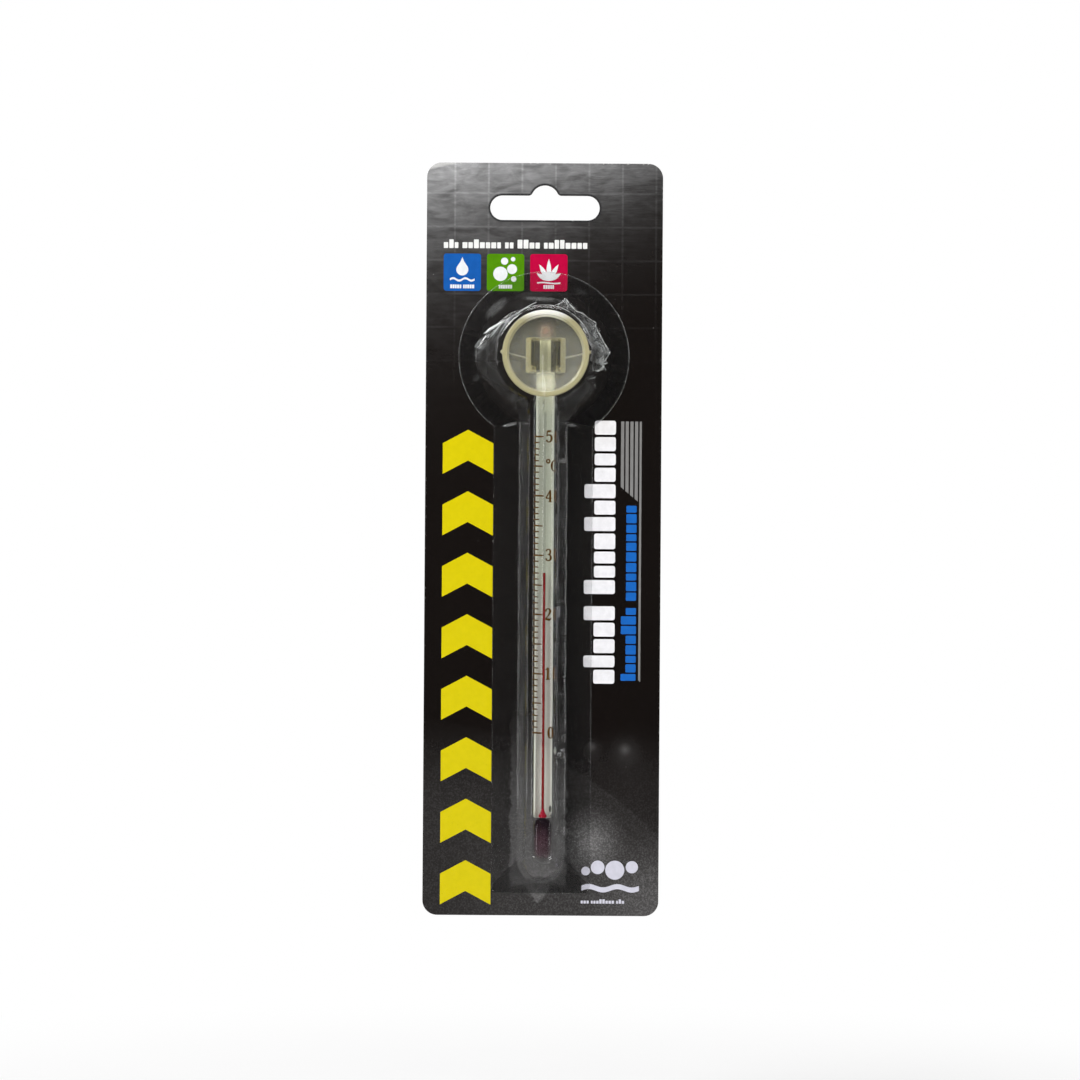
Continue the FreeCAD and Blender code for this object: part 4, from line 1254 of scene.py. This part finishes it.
def make_column():
    """The thread of spirit, which stretches between the bulb and the reading."""
    foot, surface = COLUMN_LOW.z, COLUMN_HIGH.z
    radius = BORE_R + 0.02
    rows = 90
    profile = [(0.0, foot - 0.2)]
    profile += [(radius, foot - 0.2 + (surface - foot + 0.2) * i / rows) for i in range(rows)]
    profile += [(radius * 0.92, surface - 0.06), (radius * 0.5, surface), (0.0, surface)]
    points, faces = lathe(profile, on_stem, 24)
    column = piece("spirit_thread", points, faces, red_spirit())
    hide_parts("spirit_column")
    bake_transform(column)


def make_enamel():
    """The white strip behind the capillary, with rounded lower corners."""
    inner, outer, half_turn, twist = 1.45, 1.75, 70.0, 8.0
    low, high = STEM_LOW.z + 0.05, ENAMEL_HIGH.z
    columns, points, rows = 25, [], []
    corner = 2.2
    for i in range(17):
        rows.append((low + corner * i / 16, math.sqrt(1 - (1 - i / 16) ** 2) * 0.88 + 0.12))
    straight = high - 3.4 - low - corner
    rows += [(low + corner + straight * i / 30, 1.0) for i in range(1, 30)]
    rows += [(high - 3.4 * (1 - i / 8), 1.0 - 0.45 * (i / 8) ** 2) for i in range(9)]
    loops = 0
    for z, share in rows:
        turns = [math.radians(90 + twist + half_turn * share * (2 * i / (columns - 1) - 1)) for i in range(columns)]
        ring = [(inner, t) for t in turns] + [(outer, t) for t in reversed(turns)]
        points += [(STEM_X + r * math.cos(t), -STEM_FORWARD + r * math.sin(t), z) for r, t in ring]
        loops += 1
    around = 2 * columns
    faces = grid_faces(loops, around, closed=True)
    faces.append(tuple(range(around)))
    last = (loops - 1) * around
    faces.append(tuple(range(last + around - 1, last - 1, -1)))
    strip = piece("white_strip", points, faces, enamel())
    smooth_by_angle(strip, 40)
    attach(strip, "stem")
    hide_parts("enamel_strip")


def make_bulb():
    """The blown bulb, fused to the rod, and the spirit in it."""
    top, tip = BULB_HIGH.z + 0.15, BULB_LOW.z
    corners = [(0.0, top), (STEM_R * 0.93, top), (BULB_R - 0.12, top - 1.6), (BULB_R, tip + 5), (BULB_R, tip + BULB_R)]
    profile = rounded_path(corners, (0.3, 2.0, 4.0), 10) + arc((0.0, tip + BULB_R), BULB_R, 0, -90, 16)[1:]
    points, faces = lathe(profile, on_stem, 80)
    glass = piece("bulb_shell", points, faces, stem_glass_plain())
    smooth_by_angle(glass)
    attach(glass, "stem")
    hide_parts("bulb_glass")
    make_spirit_charge()


def make_spirit_charge():
    """The spirit in the bulb, in three layers, with the cone that leads it into the capillary."""
    top, tip = BULB_HIGH.z, BULB_LOW.z
    side = BULB_R - 1.05
    neck = COLUMN_LOW.z
    cone = [(0.0, neck + 0.2), (BORE_R + 0.01, neck), (0.38, neck - 0.9), (0.62, neck - 1.6), (1.15, top - 0.35)]
    floor = tip + 2.0
    body = cone + [(side - 0.5, top - 0.8), (side, top - 2.2), (side, floor + side)]
    layers = (
        ("spirit_charge", body, (0.1, 0.6, 0.5, 0.2, 0.3, 1.0), (0.66, 0.34, 0.10)),
        ("spirit_depth", inner_layer(1.5, top - 0.6, floor + 2.2), (0.9,), (0.90, 0.14, 0.20)),
        ("spirit_core", inner_layer(1.0, top - 0.5, floor + 3.0), (0.5,), (0.97, 0.0, 0.30)),
    )
    for name, corners, radii, (top_share, low_share, edge) in layers:
        end = corners[-1]
        profile = rounded_path(corners, radii, 6) + arc((0.0, end[1]), end[0], 0, -90, 12)[1:]
        points, faces = lathe(profile, on_stem, 64)
        material = bulb_spirit(name, top_share, low_share, top - 1.5, tip + 4.5, edge)
        layer = piece(name, points, faces, material)
        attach(layer, "stem")
        if name == "spirit_charge":
            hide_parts("spirit_fill")


def inner_layer(radius, top, bottom):
    return [(0.0, top), (radius, top), (radius, bottom)]


def make_air_bubble():
    """A small bubble beside the foot of the white strip."""
    s = Shader("air_bubble")
    swirl = s.noise(2.0, 2.0)
    glass = s.principled(Base_Color=srgb(120, 120, 114), Roughness=0.08, IOR=1.3, Normal=s.bump(swirl, 0.03, 0.3))
    clear = s.surface("ShaderNodeBsdfTransparent", Color=srgb(170, 172, 168))
    material = s.finish(s.blend(0.45, clear, glass))
    profile = [(0.38 * math.sin(math.pi * i / 12), -1.0 * math.cos(math.pi * i / 12)) for i in range(13)]

    def in_stem(across, forward, height):
        return on_stem(across + 1.75, forward + 1.0, height + STEM_LOW.z + 2.6)

    points, faces = lathe(profile, in_stem, 16)
    bubble = piece("air_bubble", points, faces, material)
    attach(bubble, "stem")


def stem_glass_plain():
    s = Shader("bulb_glass")
    lines = s.noise(1.2, 2.0, 0.5, (1.0, 1.0, 0.3))
    normal = s.bump(lines, 0.03, 0.3)
    rough = s.add(s.times(lines, 0.02), 0.005)
    glass = s.principled(Base_Color=(0.95, 0.96, 0.955, 1), Roughness=rough, IOR=1.33, Transmission_Weight=1.0, Normal=normal)
    return s.finish(s.lets_light_in(glass, (0.97, 0.97, 0.97, 1)))


def curved_strip(start, stop, z, tall, slant, draw, inner=None):
    """One hand-drawn line of ink round the stem, thinner at its free end. Angles in degrees from the front."""
    inner = STEM_R + 0.002 if inner is None else inner
    outer = inner + 0.035
    count = 10
    points = []
    for i in range(count + 1):
        share = i / count
        turn = math.radians(start + (stop - start) * share)
        middle = z + slant * share + 0.03 * math.sin(3 * share + draw)
        half = tall / 2 * (1.08 - 0.35 * share)
        for radius, up in ((inner, -half), (outer, -half), (outer, half), (inner, half)):
            points.append(on_stem(radius * math.sin(turn), radius * math.cos(turn), middle + up))
    faces = grid_faces(count + 1, 4, closed=True)
    faces += [(3, 2, 1, 0), (4 * count, 4 * count + 1, 4 * count + 2, 4 * count + 3)]
    return points, faces


def make_marks():
    """The scale's marks, one group of lines for each length of mark."""
    ink = scale_ink()
    draw = random.Random(11)
    groups = {"one_degree_marks": -31.0, "five_degree_marks": -11.0, "ten_degree_marks": -3.0}
    made = {name: ([], []) for name in groups}
    for degree in range(51):
        name = "ten_degree_marks" if degree % 10 == 0 else "five_degree_marks" if degree % 5 == 0 else "one_degree_marks"
        z = ZERO_Z + degree * DEGREE
        stop = groups[name] + draw.uniform(-1.5, 1.5)
        tall = 0.56 if degree % 10 == 0 else 0.50
        strip, quads = curved_strip(-74.0, stop, z, tall, draw.uniform(-0.24, -0.04), draw.uniform(0, 6))
        points, faces = made[name]
        start = len(points)
        points += strip
        faces += [tuple(start + i for i in quad) for quad in quads]
    for name, (points, faces) in made.items():
        marks = piece("ink_" + name, points, faces, ink)
        smooth_by_angle(marks, 40)
        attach(marks, "stem")
        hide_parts(name)
    make_figures(ink)


# Figures as strokes of a broad nib: (across, up, half width) in shares of the figure's height
FIGURES = {
    "0": (
        ((0.28, 0.97, 0.02), (0.13, 0.85, 0.05), (0.07, 0.5, 0.07), (0.13, 0.15, 0.05), (0.28, 0.03, 0.02)),
        ((0.28, 0.97, 0.02), (0.43, 0.85, 0.05), (0.49, 0.5, 0.07), (0.43, 0.15, 0.05), (0.28, 0.03, 0.02)),
    ),
    "1": (
        ((0.10, 0.80, 0.02), (0.20, 0.88, 0.03), (0.30, 0.98, 0.04)),
        ((0.30, 0.97, 0.065), (0.30, 0.5, 0.065), (0.30, 0.04, 0.065)),
        ((0.12, 0.025, 0.025), (0.30, 0.025, 0.025), (0.48, 0.025, 0.025)),
    ),
    "2": (
        ((0.10, 0.72, 0.065), (0.10, 0.86, 0.035), (0.27, 0.97, 0.03), (0.45, 0.86, 0.06), (0.46, 0.68, 0.065),
         (0.34, 0.45, 0.04), (0.16, 0.22, 0.025), (0.06, 0.06, 0.025)),
        ((0.06, 0.07, 0.04), (0.24, 0.08, 0.06), (0.42, 0.05, 0.06), (0.53, 0.20, 0.02)),
    ),
    "3": (
        ((0.11, 0.80, 0.06), (0.14, 0.92, 0.03), (0.29, 0.97, 0.03), (0.44, 0.86, 0.06), (0.43, 0.66, 0.055),
         (0.30, 0.55, 0.025), (0.22, 0.54, 0.02)),
        ((0.26, 0.545, 0.02), (0.42, 0.48, 0.05), (0.50, 0.28, 0.07), (0.42, 0.09, 0.05), (0.25, 0.03, 0.025),
         (0.11, 0.09, 0.03), (0.10, 0.22, 0.065)),
    ),
    "4": (
        ((0.40, 0.96, 0.03), (0.22, 0.62, 0.022), (0.03, 0.30, 0.022)),
        ((0.03, 0.29, 0.03), (0.30, 0.29, 0.03), (0.58, 0.29, 0.03)),
        ((0.41, 0.97, 0.04), (0.41, 0.5, 0.065), (0.41, 0.05, 0.065)),
        ((0.26, 0.025, 0.025), (0.41, 0.025, 0.025), (0.56, 0.025, 0.025)),
    ),
    "5": (
        ((0.12, 0.95, 0.05), (0.28, 0.925, 0.06), (0.47, 0.975, 0.03)),
        ((0.12, 0.95, 0.025), (0.10, 0.75, 0.022), (0.09, 0.54, 0.022)),
        ((0.09, 0.54, 0.02), (0.24, 0.62, 0.03), (0.42, 0.56, 0.055), (0.50, 0.34, 0.07), (0.42, 0.12, 0.055),
         (0.25, 0.03, 0.025), (0.10, 0.09, 0.035), (0.10, 0.22, 0.06)),
    ),
    "C": (
        ((0.56, 0.74, 0.03), (0.55, 0.90, 0.03), (0.36, 0.98, 0.025), (0.14, 0.84, 0.05), (0.06, 0.5, 0.075),
         (0.14, 0.16, 0.05), (0.36, 0.02, 0.025), (0.52, 0.09, 0.025), (0.58, 0.24, 0.02)),
    ),
}


def make_figures(ink):
    """Figures for each ten degrees, and the unit, wrapped round the stem to the right of the capillary."""
    points, faces = [], []
    tall = 3.5
    for tens in range(6):
        z = ZERO_Z + tens * 10 * DEGREE
        if tens:
            add_figure(points, faces, str(tens), 0.22, z, tall)
            add_figure(points, faces, "0", 3.1, z, tall)
        else:
            add_figure(points, faces, "0", 1.35, z, tall)
    unit = ZERO_Z + 45.05 * DEGREE
    add_figure(points, faces, "C", 1.9, unit, 3.2)
    add_ring(points, faces, 0.95, unit + 1.3, 0.70, 0.26)
    figures = piece("scale_figures", points, faces, ink)
    smooth_by_angle(figures, 40)
    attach(figures, "stem")


def wrap(u, radius):
    """The angle from the stem's front for a distance along its surface, as sine and cosine of the radius."""
    return radius * math.sin(u / STEM_R), radius * math.cos(u / STEM_R)


def add_prism(points, faces, loop_faces, flat):
    """Adds a flat mesh of (u, v) points, wrapped on the stem, as a thin closed solid."""
    inner, outer = STEM_R + 0.002, STEM_R + 0.037
    start, count = len(points), len(flat)
    for radius in (outer, inner):
        for u, v in flat:
            across, forward = wrap(u, radius)
            points.append(on_stem(across, forward, v))
    edges = set()
    for face in loop_faces:
        faces.append(tuple(start + i for i in face))
        faces.append(tuple(start + count + i for i in reversed(face)))
        edges |= set(zip(face, face[1:] + face[:1]))
    for a, b in edges:
        if (b, a) not in edges:
            faces.append((start + a, start + count + a, start + count + b, start + b))


def smooth_stroke(knots, steps=5):
    """A curve through the knots of a stroke, each with its half width."""
    padded = [knots[0], *knots, knots[-1]]
    path = []
    for before, here, there, after in zip(padded, padded[1:], padded[2:], padded[3:]):
        for i in range(steps):
            t = i / steps
            blend = []
            for a, b, c, d in zip(before, here, there, after):
                blend.append(0.5 * (2 * b + (c - a) * t + (2 * a - 5 * b + 4 * c - d) * t**2 + (3 * b - a - 3 * c + d) * t**3))
            path.append(tuple(blend))
    return path + [knots[-1]]


def add_figure(points, faces, name, left, middle, tall):
    """One figure, its left edge and middle given along the stem's surface."""
    for knots in FIGURES[name]:
        path = smooth_stroke(knots)
        flat = []
        for i, (x, y, half) in enumerate(path):
            x0, y0, _ = path[max(i - 1, 0)]
            x1, y1, _ = path[min(i + 1, len(path) - 1)]
            across, up = -(y1 - y0), x1 - x0
            length = math.hypot(across, up) or 1.0
            half = max(half * 1.55, 0.052)
            for side in (-1, 1):
                u = x + side * half * across / length
                v = y + side * half * up / length
                flat.append((left + u * tall, middle + (v - 0.5) * tall))
        loops = [(2 * i, 2 * i + 2, 2 * i + 3, 2 * i + 1) for i in range(len(path) - 1)]
        add_prism(points, faces, loops, flat)


def add_ring(points, faces, u, v, outer, inner):
    """The degree sign's ring."""
    count = 24
    flat = []
    for radius in (outer, inner):
        for i in range(count):
            turn = 2 * math.pi * i / count
            flat.append((u + radius * math.cos(turn), v + radius * math.sin(turn)))
    loops = [(i, (i + 1) % count, count + (i + 1) % count, count + i) for i in range(count)]
    add_prism(points, faces, loops, flat)


def make_cup():
    """The dish, its lip, the collar behind it and the moulding's parting line and nibs, in one piece."""
    rim, front, back = CUP_R, CUP_FRONT, DISC_BACK
    bowl = back + 1.5
    corners = [
        (0.0, back),
        (rim * 0.72, back + 0.6),
        (rim - 0.5, bowl + 1.0),
        (rim, front),
        (rim - 1.6, front),
        (rim - 2.5, bowl + 1.5),
        (rim * 0.66, bowl + 0.2),
        (0.0, bowl),
    ]
    profile = rounded_path(corners, (2.5, 1.6, 0.45, 0.45, 1.0, 3.0), 8)

    def on_cup(across, up, forward):
        return (STEM_X + across, -forward, CUP_Z + up)

    points, faces = lathe(profile, on_cup, 144)
    add_collar(points, faces)
    add_parting_line(points, faces)
    cup = piece("cup_moulding", points, faces, soft_pvc())
    smooth_by_angle(cup, 40)
    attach(cup, "suction_cup")
    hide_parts("suction_cup")


def add_part(points, faces, more, quads):
    start = len(points)
    points += more
    faces += [tuple(start + i for i in quad) for quad in quads]


def add_collar(points, faces):
    """A short tube round the stem, with rounded edges, moulded onto the back of the disc."""
    inner = STEM_R + 0.04
    low, high = collar_span()
    corners = [(inner, low + 2), (inner, low), (COLLAR_R, low), (COLLAR_R, high), (inner, high), (inner, low + 2)]
    profile = rounded_path(corners, (0.3, 0.45, 0.45, 0.3), 4)
    more, quads = lathe(profile, on_stem, 80)
    add_part(points, faces, more, quads)


def add_parting_line(points, faces):
    """A fine ridge across the back of the dish on each side of the collar, ending in a nib past the lip."""
    for side in (-1, 1):
        ridge = []
        count = 16
        for i in range(count + 1):
            share = i / count
            across = COLLAR_R * 0.95 + (CUP_R * 0.80 - COLLAR_R * 0.95) * share
            depth = DISC_BACK + 0.62 * share**2 - 0.05
            half = 0.13
            sag = 0.3 - 1.5 * (1 - share)
            for forward, up in ((depth - 0.35, -half), (depth + 0.3, -half), (depth + 0.3, half), (depth - 0.35, half)):
                ridge.append((STEM_X + side * across, -forward, CUP_Z + up + sag))
        quads = grid_faces(count + 1, 4, closed=True)
        quads += [(3, 2, 1, 0), (4 * count, 4 * count + 1, 4 * count + 2, 4 * count + 3)]
        add_part(points, faces, ridge, quads)
        profile = [(0.0, -0.5), (0.75, -0.5), (0.62, 0.0), (0.3, 0.42), (0.0, 0.52)]

        def on_lip(across, up, height):
            return (STEM_X + side * (CUP_R + height), -(CUP_FRONT - 1.3) + across, CUP_Z + 0.4 + up)

        more, quads = lathe(profile, on_lip, 20)
        add_part(points, faces, more, quads)


def dress_card():
    """The card's own nodes keep their shapes and get their finishes."""
    finishes = {
        "front_print_sheet": front_print(),
        "card_board": board("greyboard", srgb(186, 182, 172), srgb(150, 146, 136), 1.6),
        "back_liner_sheet": board("back_liner", srgb(214, 211, 203), srgb(190, 187, 178), 0.9),
        "heat_seal_band": seal_lacquer(),
    }
    for name, material in finishes.items():
        node = frame["nodes"][name]
        for slot in node.material_slots:
            slot.material = material


# The studio


def make_studio():
    half, height = 3.0, -0.30
    floor_points = [(-half / MM, -half / MM, height / MM), (half / MM, -half / MM, height / MM), (half / MM, half / MM, height / MM), (-half / MM, half / MM, height / MM)]
    floor = piece("studio_floor", floor_points, [(0, 1, 2, 3)], floor_paint(), smooth=False)
    middle = (0.0, 0.0, -0.10)
    lamp("key", (-0.80, -1.00, 0.75), middle, 0.75, 0.50, 17.0)
    lamp("top", (0.0, -0.45, 1.10), middle, 0.90, 0.30, 5.0)
    lamp("right", (0.95, -0.95, 0.45), middle, 0.40, 0.40, 3.6)
    lamp("low", (0.25, -1.05, -1.15), middle, 0.50, 0.30, 3.6)
    lamp("left", (-1.30, -0.50, -0.10), middle, 0.25, 1.00, 3.0)
    lamp("edge", (1.30, -0.30, -0.10), middle, 0.25, 1.00, 2.6)
    world()


def lamp(name, at, towards, width, height, power):
    light = bpy.data.lights.new(name, "AREA")
    light.shape = "RECTANGLE"
    light.size, light.size_y = width, height
    light.energy = power
    holder = bpy.data.objects.new(name, light)
    holder.location = at
    holder.rotation_euler = (Vector(towards) - Vector(at)).to_track_quat("-Z", "Y").to_euler()
    bpy.context.scene.collection.objects.link(holder)


def world():
    """White behind the pack, with a dim room in front of it and a bright ceiling for the lacquer to mirror."""
    made = bpy.data.worlds.new("studio")
    made.use_nodes = True
    tree = made.node_tree
    tree.nodes.clear()
    output = tree.nodes.new("ShaderNodeOutputWorld")
    background = tree.nodes.new("ShaderNodeBackground")
    coordinates = tree.nodes.new("ShaderNodeTexCoord")
    split = tree.nodes.new("ShaderNodeSeparateXYZ")
    tree.links.new(coordinates.outputs["Generated"], split.inputs[0])
    ceiling = map_range(tree, split.outputs["Z"], 0.3, 0.9, 0.0, 0.25)
    behind = map_range(tree, split.outputs["Y"], 0.0, 0.6, 0.04, 0.90)
    room = tree.nodes.new("ShaderNodeMath")
    room.operation = "ADD"
    tree.links.new(ceiling, room.inputs[0])
    tree.links.new(behind, room.inputs[1])
    path = tree.nodes.new("ShaderNodeLightPath")
    seen = tree.nodes.new("ShaderNodeMix")
    tree.links.new(path.outputs["Is Camera Ray"], seen.inputs["Factor"])
    tree.links.new(room.outputs[0], seen.inputs["A"])
    seen.inputs["B"].default_value = 1.0
    tree.links.new(seen.outputs["Result"], background.inputs["Strength"])
    background.inputs["Color"].default_value = (1, 1, 1, 1)
    tree.links.new(background.outputs[0], output.inputs["Surface"])
    bpy.context.scene.world = made


def map_range(tree, source, low, high, start, end):
    made = tree.nodes.new("ShaderNodeMapRange")
    made.interpolation_type = "SMOOTHSTEP"
    tree.links.new(source, made.inputs["Value"])
    made.inputs["From Min"].default_value = low
    made.inputs["From Max"].default_value = high
    made.inputs["To Min"].default_value = start
    made.inputs["To Max"].default_value = end
    return made.outputs["Result"]


def make_camera():
    """Square on to the card, level with its middle, leaning by the fraction of a degree that the card hangs off."""
    distance, picture_width, lean = 0.90, 0.3159, -0.385
    data = bpy.data.cameras.new("camera")
    data.sensor_width = 36.0
    data.lens = 36.0 * distance / picture_width
    holder = bpy.data.objects.new("camera", data)
    holder.location = (-0.0008, -distance, -0.1037)
    holder.rotation_euler = (math.pi / 2, math.radians(lean), 0.0)
    bpy.context.scene.collection.objects.link(holder)
    bpy.context.scene.camera = holder


make_camera()
make_studio()
dress_card()
make_print()
make_blister()
make_stem()
make_bore()
make_column()
make_enamel()
make_bulb()
make_air_bubble()
make_marks()
make_cup()
bpy.context.scene.view_settings.view_transform = "Standard"
